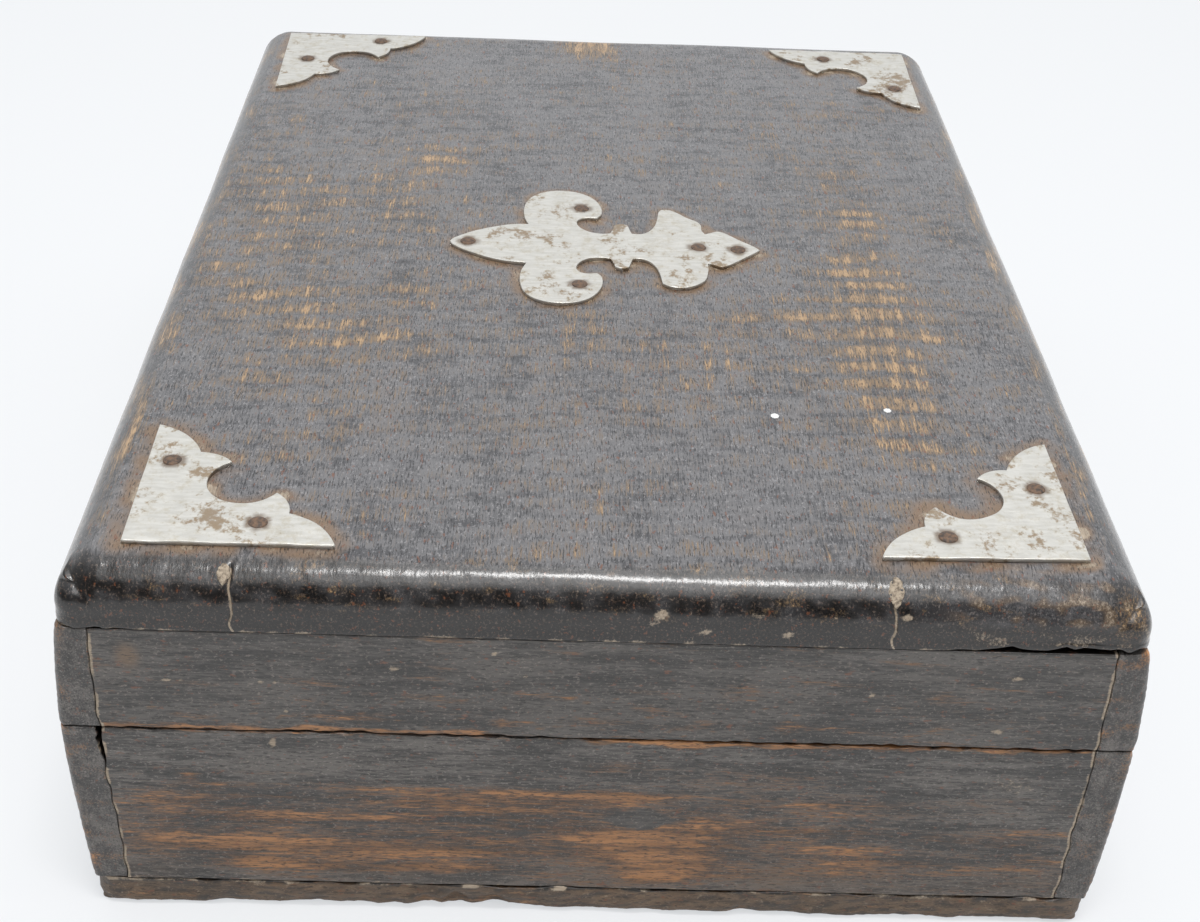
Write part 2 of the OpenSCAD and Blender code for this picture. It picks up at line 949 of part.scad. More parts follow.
bottom_board();
body_end_left();
body_end_right();
body_front();
body_back();
partition_front();
partition_back();
body_corner_nails();
bottom_nails();
hinge_left_body_leaf();
hinge_right_body_leaf();
hinge_left_pin();
hinge_right_pin();
body_hinge_screws();
lid_end_left();
lid_end_right();
lid_front();
lid_back();
lid_corner_nails();
lid_top();
lid_top_nails();
nail_plugs();
hinge_left_lid_leaf();
hinge_right_lid_leaf();
lid_hinge_screws();
corner_plate_back_left();
corner_plate_front_left();
corner_plate_back_right();
corner_plate_front_right();
corner_plate_nails();
fleur_plate();
fleur_plate_nails();
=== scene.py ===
import bmesh
import bpy
import numpy as np
from mathutils import Matrix, Vector


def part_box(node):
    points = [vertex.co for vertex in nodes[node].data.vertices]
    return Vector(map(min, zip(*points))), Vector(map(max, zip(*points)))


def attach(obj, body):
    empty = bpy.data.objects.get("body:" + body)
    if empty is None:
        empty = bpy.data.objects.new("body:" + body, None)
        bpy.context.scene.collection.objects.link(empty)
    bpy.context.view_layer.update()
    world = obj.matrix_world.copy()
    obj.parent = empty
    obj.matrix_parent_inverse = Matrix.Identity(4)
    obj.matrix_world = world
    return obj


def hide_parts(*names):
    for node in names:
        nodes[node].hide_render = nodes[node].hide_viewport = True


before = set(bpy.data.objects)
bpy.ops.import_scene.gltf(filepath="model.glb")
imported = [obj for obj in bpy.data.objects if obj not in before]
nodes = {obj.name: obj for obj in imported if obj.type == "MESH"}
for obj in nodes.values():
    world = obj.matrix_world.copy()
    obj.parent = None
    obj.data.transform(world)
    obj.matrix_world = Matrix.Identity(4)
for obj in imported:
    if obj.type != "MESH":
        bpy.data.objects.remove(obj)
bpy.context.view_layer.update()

# Bottom board
# A thin softwood board nailed on under the frame. It is brown with dirt, rough on its rim,
# and its lower edge is chipped down to the wood in the back half of the left end.

MM = 0.001


def span(node):
    """The lowest and the highest corner of a CAD node, in millimetres."""
    low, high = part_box(node)
    return np.array(low) / MM, np.array(high) / MM


# Half length and half depth of the frames, where their long boards begin, and how far the
# front runs in at the right end
END, SIDE = span("body_back")[1][:2]
INNER = span("body_back")[0][1]
TAPER = INNER + span("body_front")[1][1]


def grid_lines(low, high, step, fine, edge):
    """Grid lines from low to high: fine apart within edge of both ends, and step apart between."""
    border = np.linspace(0, edge, max(1, round(edge / fine)) + 1)
    middle = np.linspace(low + edge, high - edge, max(1, round((high - low - 2 * edge) / step)) + 1)
    return np.unique(np.concatenate([low + border, middle, high - border]).round(5))


def block(xs, ys, zs):
    """The skin of a block: on each side a grid of the two sets of lines that run there.
    Points that two sides share are made one, so the skin is closed. Returns points and quads."""
    lines = [np.asarray(a, float) for a in (xs, ys, zs)]
    points, quads, count = [], [], 0
    for k in range(3):
        i, j = (k + 1) % 3, (k + 2) % 3
        a, b = np.meshgrid(lines[i], lines[j], indexing="ij")
        number = np.arange(a.size).reshape(a.shape)
        corners = [number[:-1, :-1], number[1:, :-1], number[1:, 1:], number[:-1, 1:]]
        for side in (0, -1):
            p = np.empty(a.shape + (3,))
            p[..., i], p[..., j], p[..., k] = a, b, lines[k][side]
            order = corners if side else corners[::-1]
            quads.append(np.stack(order, -1).reshape(-1, 4) + count)
            points.append(p.reshape(-1, 3))
            count += a.size
    points = np.concatenate(points)
    _, first, same = np.unique((points * 1e4).round().astype(np.int64), axis=0,
                               return_index=True, return_inverse=True)
    return points[first], same.reshape(-1)[np.concatenate(quads)]


def outward(points, quads):
    """Unit normals at the points: the sum of the normals of the quads round each, made unit long."""
    face = np.cross(points[quads[:, 2]] - points[quads[:, 0]], points[quads[:, 3]] - points[quads[:, 1]])
    total = np.zeros_like(points)
    for k in range(4):
        np.add.at(total, quads[:, k], face)
    return total / np.maximum(np.linalg.norm(total, axis=1, keepdims=True), 1e-12)


def ripples(points, length, seed):
    """Smooth random unevenness, mostly between -1 and 1: the sum of 16 sine waves that run in
    random directions, each about as long as length, which may differ along X, Y and Z."""
    waves = 16
    rng = np.random.default_rng(seed)
    way = rng.normal(size=(waves, 3))
    way *= 2 * np.pi * rng.uniform(0.6, 1.6, (waves, 1)) / np.linalg.norm(way, axis=1, keepdims=True)
    phase = rng.uniform(0, 2 * np.pi, waves)
    return np.sin(points / np.asarray(length, float) @ way.T + phase).sum(1) / np.sqrt(waves)


def ease(value, start, end):
    """0 before start, 1 after end and a smooth S between them. It also runs downwards."""
    t = np.clip((value - start) / (end - start), 0, 1)
    return t * t * (3 - 2 * t)


def patches(points, spots):
    """Soft patches: each spot is centre, half lengths along X, Y and Z, and strength. A patch is
    strength times e to the minus squared distance, and overlapping patches add up."""
    total = np.zeros(len(points))
    for x, y, z, half_x, half_y, half_z, strength in spots:
        away = (points - [x, y, z]) / [half_x, half_y, half_z]
        total += strength * np.exp(-(away ** 2).sum(1))
    return total


def round_edge(points, i, j, corner_i, corner_j, radius, under=False):
    """Bends a square edge into a quarter circle. corner_i and corner_j say where the edge is on
    the axes i and j, and under that it is a lower edge. Within radius of it, each point keeps
    its bearing from the circle's centre and goes out as far as its larger offset from there."""
    si, sj = np.sign(corner_i), -1 if under else np.sign(corner_j)
    a = (points[:, i] - corner_i) * si + radius
    b = (points[:, j] - corner_j) * sj + radius
    inside = (a > 0) & (b > 0)
    squeeze = np.where(inside, np.maximum(a, b) / np.maximum(np.hypot(a, b), 1e-9), 1)
    points[:, i] = np.where(inside, corner_i + (a * squeeze - radius) * si, points[:, i])
    points[:, j] = np.where(inside, corner_j + (b * squeeze - radius) * sj, points[:, j])


def soften(points, low, high, radius):
    """Rounds every sharp edge of a block a little: a point that lies further than radius from
    the block that is radius smaller all round is pulled in to that distance."""
    core = np.clip(points, low + radius, high - radius)
    out = points - core
    far = np.maximum(np.linalg.norm(out, axis=1, keepdims=True), 1e-9)
    return core + out * np.minimum(1, radius / far)


def tapered(points, back=0.0):
    """Narrows the straight chest towards its right end: the shift across grows evenly along the
    chest, to the full taper in the front boards and to back in the back boards."""
    along = (points[:, 0] + END) / (2 * END)
    share = np.clip((INNER - points[:, 1]) / (2 * INNER), 0, 1)
    points[:, 1] += along * (TAPER * share - back * (1 - share))


def pit_lines(lines, centres):
    """Adds grid lines across each nail, so that its pit comes out round."""
    across = np.array([-2.2, -1.85, -1.5, -0.8, 0, 0.8, 1.5, 1.85, 2.2])
    more = np.concatenate([c + across for c in centres])
    near = np.abs(lines[:, None] - more[None, :]).min(1) < 0.25
    ends = (lines == lines[0]) | (lines == lines[-1])
    return np.unique(np.concatenate([lines[~near | ends], more]).round(5))


def pit(across, along, centre):
    """1 within a sunk nail head's pit round centre and 0 outside, with a steep side between."""
    return ease(np.hypot(across - centre[0], along - centre[1]), 2.1, 1.65)


def put(mesh, finish, body, replaced, marks):
    """Puts a mesh into the scene in place of a CAD node, smooth, with its material, and with its
    marks as values at the points, each held between 0 and 1."""
    mesh.polygons.foreach_set("use_smooth", np.full(len(mesh.polygons), True))
    for key, values in marks.items():
        values = np.clip(values, 0, 1).astype(np.float32)
        mesh.attributes.new(key, "FLOAT", "POINT").data.foreach_set("value", values)
    mesh.materials.clear()
    mesh.materials.append(finish)
    mesh.update()
    made = bpy.data.objects.new(replaced + "_skin", mesh)
    bpy.context.scene.collection.objects.link(made)
    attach(made, body)
    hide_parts(replaced)


def piece(replaced, points, quads, finish, body, slot, **marks):
    """Makes the piece that replaces a CAD node, from points in millimetres and quads."""
    mesh = bpy.data.meshes.new(replaced + "_skin")
    mesh.from_pydata((points * MM).tolist(), [], quads.tolist())
    put(mesh, finish, body, replaced, marks)


class Finish:
    """A material in the making. Each method adds a node and returns what comes out of it."""

    def __init__(self, name):
        self.material = bpy.data.materials.new(name)
        self.material.use_nodes = True
        self.tree = self.material.node_tree
        self.tree.nodes.clear()
        place = self.node("ShaderNodeTexCoord", {}, "Object")
        self.at = self.node("ShaderNodeVectorMath", {0: place, "Scale": 1 / MM}, operation="SCALE")

    def node(self, kind, inputs, out=0, **settings):
        made = self.tree.nodes.new(kind)
        for key, value in settings.items():
            setattr(made, key, value)
        for key, value in inputs.items():
            if isinstance(value, bpy.types.NodeSocket):
                self.tree.links.new(value, made.inputs[key])
            else:
                made.inputs[key].default_value = value
        return made.outputs[out] if made.outputs else None

    def calc(self, operation, a, b, c=0.0):
        return self.node("ShaderNodeMath", {0: a, 1: b, 2: c}, operation=operation)

    def noise(self, size, stretch=(1, 1, 1), detail=3.0, rough=0.5, shift=0.0):
        """Noise in millimetres: its grain is size across, times stretch along X, Y and Z."""
        at = self.node("ShaderNodeVectorMath", {0: self.at, 1: [1 / (size * s) for s in stretch],
                                                2: (shift, shift, shift)}, operation="MULTIPLY_ADD")
        return self.node("ShaderNodeTexNoise", {"Vector": at, "Scale": 1.0, "Detail": detail,
                                                "Roughness": rough})

    def step(self, value, low, high, start=0.0, end=1.0):
        """Turns low to high into start to end, with a smooth S, and stays there beyond."""
        return self.node("ShaderNodeMapRange", {0: value, 1: low, 2: high, 3: start, 4: end},
                         interpolation_type="SMOOTHSTEP")

    def mix(self, share, a, b):
        colours = {k: (*c, 1) if isinstance(c, tuple) else c for k, c in ((6, a), (7, b))}
        return self.node("ShaderNodeMix", {0: share, **colours}, 2, data_type="RGBA")

    def mark(self, name):
        return self.node("ShaderNodeAttribute", {}, "Fac", attribute_name=name)

    def bump(self, height, depth, under=None):
        """Bump whose height from 0 to 1 stands for depth in millimetres."""
        inputs = {"Height": height, "Strength": 1.0, "Distance": depth * MM}
        if under is not None:
            inputs["Normal"] = under
        return self.node("ShaderNodeBump", inputs)

    def done(self, colour, roughness, normal, metallic=0.0, **constants):
        inputs = {"Base Color": colour, "Roughness": roughness, "Normal": normal, "Metallic": metallic}
        inputs.update({key.replace("_", " "): value for key, value in constants.items()})
        shader = self.node("ShaderNodeBsdfPrincipled", inputs)
        self.node("ShaderNodeOutputMaterial", {0: shader})
        return self.material


def stained_wood(name, along, dark, light, bare, gloss, streaky=1.0, paint=(), haze=0.0, coat=0.12,
                 ior=1.55):
    """Old stained wood whose grain runs along the axis of that number, from dark to light in
    tone, in streaks where streaky is 1 and mottled where it is 0. Bare is the wood where the
    stain is rubbed through, gloss the mean roughness, paint the places and radii of white
    spots, haze the sheen, coat the share of wax or varnish and ior the index of the stain.
    Marks at the points steer it: worn is how far the stain is rubbed through, dust how much pale
    dirt lies on it, grime how brown the dirt in it is, the soot mark how black and smooth it is,
    which is black dirt in places and painted shade in joints and on hidden faces, and rib how light."""
    f = Finish(name)

    def stretched(by):
        return [by if k == along else 1 for k in range(3)]

    def sum_of(*parts):
        total = parts[0]
        for part in parts[1:]:
            total = f.calc("ADD", total, part)
        return total

    def times(a, b):
        return f.calc("MULTIPLY", a, b)

    fibre = f.noise(0.42, stretched(11), detail=5, rough=0.72)
    streak = f.noise(2.4, stretched(11), detail=5, rough=0.65, shift=7.0)
    mottle = f.noise(2.6, (1, 2.4, 1), detail=6, rough=0.70, shift=13.0)
    cloud = f.noise(17, stretched(1.7), detail=6, rough=0.62, shift=3.0)
    speck = f.noise(0.55, stretched(1.7), detail=4, rough=0.72, shift=11.0)
    pores = f.step(f.noise(0.30, stretched(6), detail=2, rough=0.55, shift=5.0), 0.57, 0.66)
    soot = f.mark("soot")

    tone = sum_of(times(streak, 0.34 * streaky), times(mottle, 0.40 - 0.34 * streaky),
                  times(cloud, 0.24), times(fibre, 0.36), times(f.mark("rib"), 0.06))
    stain = f.mix(f.step(tone, 0.445, 0.56), dark, light)
    stain = f.mix(f.step(speck, 0.55, 0.64, 0, 0.55), stain, tuple(c * 2.1 for c in light))
    grime = times(f.step(sum_of(f.mark("grime"), times(f.calc("ADD", cloud, -0.5), 0.9)), 0.1, 0.9), 0.85)
    stain = f.mix(grime, stain, (0.175, 0.108, 0.060))
    # Where the soot mark says, the stain goes black: black dirt in some places, and painted shade in joints,
    # on hidden faces and on the top board's left rounded edge in others
    black = f.mix(f.step(speck, 0.545, 0.62), (0.005, 0.004, 0.0035), (0.062, 0.042, 0.030))
    stain = f.mix(times(soot, 0.98), stain, black)

    # Where the stain is thin the brown wood tints it, and where it is gone the fibres are bare
    loose = sum_of(times(f.calc("ADD", fibre, -0.5), 3.5), times(f.calc("ADD", streak, -0.5), 2.0))
    worn = f.mark("worn")
    touched = f.step(worn, 0.02, 0.20)
    thin = times(f.step(sum_of(worn, loose), 0.10, 0.85, 0, 0.75), touched)
    gone = times(f.step(sum_of(worn, loose), 0.66, 1.15), touched)
    colour = f.mix(thin, stain, tuple(c * 0.42 for c in bare))
    fresh = f.mix(f.step(streak, 0.38, 0.62), tuple(c * 0.58 for c in bare), tuple(c * 1.1 for c in bare))
    colour = f.mix(gone, colour, fresh)
    colour = f.mix(times(pores, 0.75), colour, tuple(c * 0.25 for c in dark))

    # Loose specks everywhere, and pale dirt where the mark says
    rusty = f.step(f.noise(0.9, stretched(2.4), detail=3, rough=0.6, shift=17.0), 0.62, 0.70, 0, 0.7)
    colour = f.mix(rusty, colour, (0.145, 0.052, 0.024))
    grit = times(f.step(speck, 0.64, 0.71, 0, 0.38), f.step(cloud, 0.42, 0.62, 0.25, 1.0))
    dust = f.mark("dust")
    laid = sum_of(dust, times(f.calc("ADD", speck, -0.5), 1.2))
    laid = times(f.step(laid, 0.3, 0.75), f.step(dust, 0.01, 0.15))
    dirt = f.calc("MAXIMUM", laid, grit)
    colour = f.mix(dirt, colour, f.mix(f.step(fibre, 0.3, 0.7), (0.20, 0.155, 0.11), (0.40, 0.33, 0.25)))
    wet = 0.0
    for x, y, z, radius in paint:
        away = f.node("ShaderNodeVectorMath", {0: f.at, 1: (x, y, z)}, "Value", operation="DISTANCE")
        wet = f.calc("MAXIMUM", wet, f.step(f.calc("ADD", away, speck), radius + 0.75, radius + 0.35))
    if paint:
        colour = f.mix(wet, colour, (0.80, 0.81, 0.80))

    matt = sum_of(times(cloud, 0.14), times(fibre, 0.20), times(speck, 0.12), gloss - 0.23)
    matt = sum_of(times(thin, 0.06), times(dirt, 0.25), matt)
    matt = f.calc("MULTIPLY_ADD", soot, -0.16, matt)
    grain = f.calc("MULTIPLY_ADD", soot, -0.85, 1.0)
    leather = f.noise(0.7, (3, 1, 3), detail=4, rough=0.6, shift=15.0)
    skin = f.bump(f.noise(4.5, stretched(3), detail=3, shift=9.0), 0.20)
    skin = f.bump(times(leather, soot), 0.045, skin)
    normal = f.bump(times(sum_of(times(fibre, 0.7), times(pores, -0.6)), grain), 0.11, skin)
    normal = f.bump(times(sum_of(speck, times(laid, 0.8)), grain), 0.09, normal)
    return f.done(colour, matt, normal, Coat_Normal=skin, Sheen_Weight=haze, Sheen_Roughness=0.45,
                  Coat_Weight=coat, Coat_Roughness=0.17, IOR=ior)


z_under, z_joint = 0.0, span("bottom_board")[1][2]
half = span("bottom_board")[1][1]
edge_round = 2.2
left_corner, right_corner = 4.6, 3.2
# The nails stand in two rows along the chest and in two across it
along_xs, along_ys = (-102, -34, 34, 102), (-100.3, 100.3)
across_xs, across_ys = (-132.4, 132.4), (-65.22, 65.22)
nails = [(x, y) for x in along_xs for y in along_ys]
nails += [(x, y) for x in across_xs for y in across_ys]
points, quads = block(pit_lines(grid_lines(-END, END, 8, 0.5, 7), sorted(along_xs + across_xs)),
                      pit_lines(grid_lines(-half, half, 0.7, 0.5, 5), sorted(along_ys + across_ys)),
                      grid_lines(z_under, z_joint, 0.6, 0.4, 1.2))
for sx, radius in ((-1, left_corner), (1, right_corner)):
    for sy in (-1, 1):
        round_edge(points, 0, 1, sx * END, sy * half, radius)
for k, far in ((0, END), (1, half)):
    for s in (-1, 1):
        round_edge(points, k, 2, s * far, z_under, edge_round, under=True)
points = soften(points, np.array([-END, -half, z_under]), np.array([END, half, z_joint]), 0.4)
normals = outward(points, quads)
rim = np.minimum(END - abs(points[:, 0]), half - abs(points[:, 1]))
near_rim = ease(rim, 6, 0)
from_end = points[:, 0] + END
# Chips along the lower edge of the left end: where across the chest, half width and height
losses = [(22, 3.4, 3.6), (28.5, 2.6, 4.4), (34.5, 3.0, 3.0), (41.5, 2.6, 1.6), (57, 4.5, 1.3),
          (49, 4.0, 1.2), (15, 5, 1.0), (0, 16, 0.7), (-31, 2.2, 1.7), (-38, 6, 0.8), (-62, 9, 0.6),
          (76, 9, 0.5), (-88, 6, 0.6)]
lost = sum(h * np.exp(-(abs(points[:, 1] - y) / w) ** 2.6) for y, w, h in losses)
lost = lost * ease(from_end, 7, 0.3) * (1 + 0.12 * ripples(points, 4.0, 3))
lowness = ease(points[:, 2] - 0.55 * lost, 3.2, 1.4)
points[:, 2] += 0.22 * lost * ease(points[:, 2], 3.5, 0.5)
points[:, 0] += (0.34 * lost * lowness).clip(0, 1.3) * ease(from_end, 4, 0)
uneven = 0.20 * ripples(points, 9, 4) + 0.06 * ripples(points, 2.2, 5) - 0.12
points += normals * (near_rim * uneven)[:, None]
points[:, 2] = np.maximum(points[:, 2], 0.0)
joint = ease(points[:, 2], z_joint - 0.9, z_joint - 0.1) * ease(rim, 3, 1)
points[:, 2] -= joint * (0.20 + 0.35 * ripples(points * [1, 1, 0], 9, 8)).clip(0, 0.7)
for centre in nails:
    points[:, 2] += 0.45 * pit(points[:, 0], points[:, 1], centre) * (points[:, 2] < 0.4)
tapered(points)
worn = near_rim * (0.12 + 0.22 * ripples(points, 12, 6)) + 0.62 * ease(lost, 0.9, 2.4) * lowness
dust = 0.34 * near_rim * ease(ripples(points, (6, 6, 1.8), 7), -0.2, 1.2)
dust += 0.5 * ease(points[:, 2], 6.2, 7.0) * near_rim * ease(ripples(points, 8, 9), -0.5, 0.9)
# Soot: painted shade along the top of the rim, where the frame stands on the board, and black dirt in
# patches round the rim
soot = ease(points[:, 2], z_joint - 0.9, z_joint - 0.4)
soot += 0.8 * near_rim * ease(ripples(points, (9, 7, 2.2), 10), -0.3, 1.2)
bottom_wood = stained_wood("stained_bottom_board", 1, (0.023, 0.017, 0.013), (0.114, 0.083, 0.057),
                           (0.27, 0.15, 0.075), 0.66, streaky=0.4)
piece("bottom_board", points, quads, bottom_wood, "chest", "dark_wood",
      worn=worn, dust=dust, soot=soot, grime=0.25 + 0.2 * near_rim)

# End boards of the body
# Two boards between the long ones. The stain of the left one is rubbed through along its
# grain, its upper edge is worn to bare wood, and it has one small dark knot.

END_BOARD = 8.2
SEAM_Z = span("body_back")[1][2]
KNOT = (-8.5, 27.2)
end_wood = stained_wood("stained_end_board", 1, (0.021, 0.0195, 0.0185), (0.106, 0.096, 0.088),
                        (0.31, 0.143, 0.052), 0.50)


def joint_wander(points):
    """Shift across the chest of the joints between end and long boards, as the left end shows
    them: below the seam of the lid they lean in by 0.03 per millimetre, and they wander by
    about 0.25 mm."""
    side = np.sign(points[:, 1])
    lean = -0.030 * np.clip(SEAM_Z - points[:, 2], 0, 60)
    wave = 0.25 * ripples(points * [0, 0, 1] + side[:, None] * [5, 0, 0], (40, 9, 7), 21)
    close = ease(abs(abs(points[:, 1]) - INNER), 5, 0)
    return side * (lean + wave) * close * ease(END - abs(points[:, 0]), 7, 1)


def end_board(name, sign, fine):
    """An end board before its wear, END_BOARD thick, with grid lines fine apart on its outer
    face. After its points and quads come how much each point is in that face, from 0 to 1, how
    far it is from the joints, and the heights of the lower and the upper edge."""
    z_low, z_high = span(name)[0][2], span(name)[1][2]
    x_in, x_out = sorted((sign * (END - END_BOARD), sign * END))
    points, quads = block(grid_lines(x_in, x_out, 2.0, 0.3, 0.9),
                          grid_lines(-INNER, INNER, fine, 0.3, 0.9),
                          grid_lines(z_low, z_high, fine, 0.3, 0.9))
    points = soften(points, np.array([x_in, -INNER, z_low]), np.array([x_out, INNER, z_high]), 0.3)
    face = ease(abs(points[:, 0]), END - 3.5, END - 0.3)
    aside = INNER - abs(points[:, 1])
    points[:, 1] += joint_wander(points)
    return points, quads, face, aside, z_low, z_high


# Rubbed streaks of the left end: place across and up, half lengths across and up, strength
streaks = [(15, 33.4, 26, 1.3, 0.78), (-5, 33.3, 9, 1.4, 0.95), (32, 29.9, 9, 1.0, 0.78),
           (30, 31.2, 34, 0.9, 0.50), (66, 26, 22, 1.7, 0.58), (84, 30, 10, 3.0, 0.45),
           (70, 19.5, 18, 2.8, 0.55), (42, 17.3, 42, 1.8, 0.80), (70, 13.6, 5, 1.3, 0.85),
           (33, 12.6, 9, 1.3, 0.85), (58, 13.2, 18, 2.2, 0.50), (20, 21, 22, 2.0, 0.42),
           (-14, 22.5, 10, 2.5, 0.95), (-13, 15.2, 11, 3.8, 1.05), (-12, 10.6, 6, 1.3, 0.85),
           (-4, 21, 6, 3.0, 0.55), (-40, 24.8, 22, 1.4, 0.52), (-52, 16, 11, 3.6, 0.62),
           (-50, 32, 28, 2.6, 0.42), (-28, 39, 18, 3.2, 0.34), (-4, 41, 6, 1.6, 0.42),
           (81, 36.3, 1.8, 0.9, 1.15), (-88, 16, 12, 5.0, 0.40), (-80, 24, 14, 2.5, 0.35),
           (90, 21, 8, 6.0, 0.42), (10, 27, 30, 3.0, 0.30), (-30, 12, 18, 1.6, 0.35),
           (35, 22, 55, 11, 0.26), (-35, 20, 40, 12, 0.22), (48, 12, 30, 1.2, 0.45),
           (12, 29, 14, 0.8, 0.6), (74, 34, 12, 0.8, 0.4)]
for name, sign, fine in (("body_end_left", -1, 0.5), ("body_end_right", 1, 1.0)):
    points, quads, face, aside, z_low, z_high = end_board(name, sign, fine)
    top_edge = ease(points[:, 2], z_high - 1.8, z_high) * face
    points[:, 2] -= top_edge * (0.12 + 0.25 * ripples(points, (9, 5, 9), 31)).clip(0, 0.5)
    rough = 0.05 * ripples(points, (3, 14, 1.3), 32) + 0.07 * ripples(points, (8, 30, 12), 33)
    rough += 0.03 * ripples(points, (3, 3, 0.8), 37)
    points[:, 0] += sign * face * (rough - 0.06)
    y, z = points[:, 1], points[:, 2]
    mirrored = points * [0, 1, 1] if sign < 0 else points * [0, -1, 1] + [0, 17, 2]
    worn = patches(mirrored, [(0, a, b, 1e6, c, d, s) for a, b, c, d, s in streaks]) * face
    worn += 0.16 * ripples(points, (9, 34, 3), 34).clip(0, 1.4) * ease(z, 45, 32)
    bright_edge = ease(y, 12, -10) * ease(y, -104, -80)
    ragged = z_high - (0.9 + 0.5 * ripples(points * [0, 1, 0], (9, 7, 9), 38)) * (0.4 + 0.6 * bright_edge)
    worn += ease(z - ragged, -0.4, 0.4) * (0.35 + 0.95 * bright_edge)
    across = abs(y - KNOT[0]) / 7.6
    knot = ease(abs(z - KNOT[1]) / 2.9 + across ** 1.5, 1.08, 0.90) * (sign < 0)
    worn *= 1 - knot
    dust = 0.85 * ease(aside, 0.85, 0.45) * face * ease(ripples(points, (9, 9, 4), 39), -1.3, 0.3)
    dust += 0.5 * ease(z, z_low + 0.8, z_low + 0.3) * face * ease(ripples(points, (9, 7, 9), 40), -0.2, 0.9)
    dust += 0.30 * ease(ripples(points, (5, 5, 2.4), 36), 0.9, 1.8)
    pale = [(64, 45.6, 0.8, 1.4, 1.0), (-82, 39, 7, 3.5, 0.40), (69, 40.5, 4, 1.6, 0.35),
            (-45, 26, 3, 1.5, 0.35)]
    dust += patches(mirrored, [(0, a, b, 1e6, c, d, s) for a, b, c, d, s in pale])
    # Soot: painted shade on the faces in the joints with the long boards and on the lower face that stands
    # on the bottom board; the knot is black as well
    joint_shade = ease(aside, 0.20, 0.02) * ease(ripples(points, (9, 9, 3), 24), -0.2, 0.7)
    soot = joint_shade + ease(z, z_low + 0.25, z_low) + 0.42 * knot * face
    tapered(points)
    piece(name, points, quads, end_wood, "chest", "dark_wood",
          worn=worn, dust=dust, soot=soot, grime=0.25 * ease(z, 30, 10) * face)

# Long boards of the body
# Front and back boards cover the ends of the end boards. Their outer faces lean in
# downwards, their upright edges are rounded, and sunk nails hold them at the corners.

side_wood = stained_wood("stained_long_board", 0, (0.027, 0.025, 0.024), (0.112, 0.101, 0.093),
                         (0.36, 0.17, 0.065), 0.48)
NAIL_X = 133.4
# The hinge leaves' beds: middle and half length along the chest, inner edge across it, depth
HINGE_X, LEAF_HALF, LEAF_Y, BED = 76.5, 16.1, SIDE - 6.5, 0.95


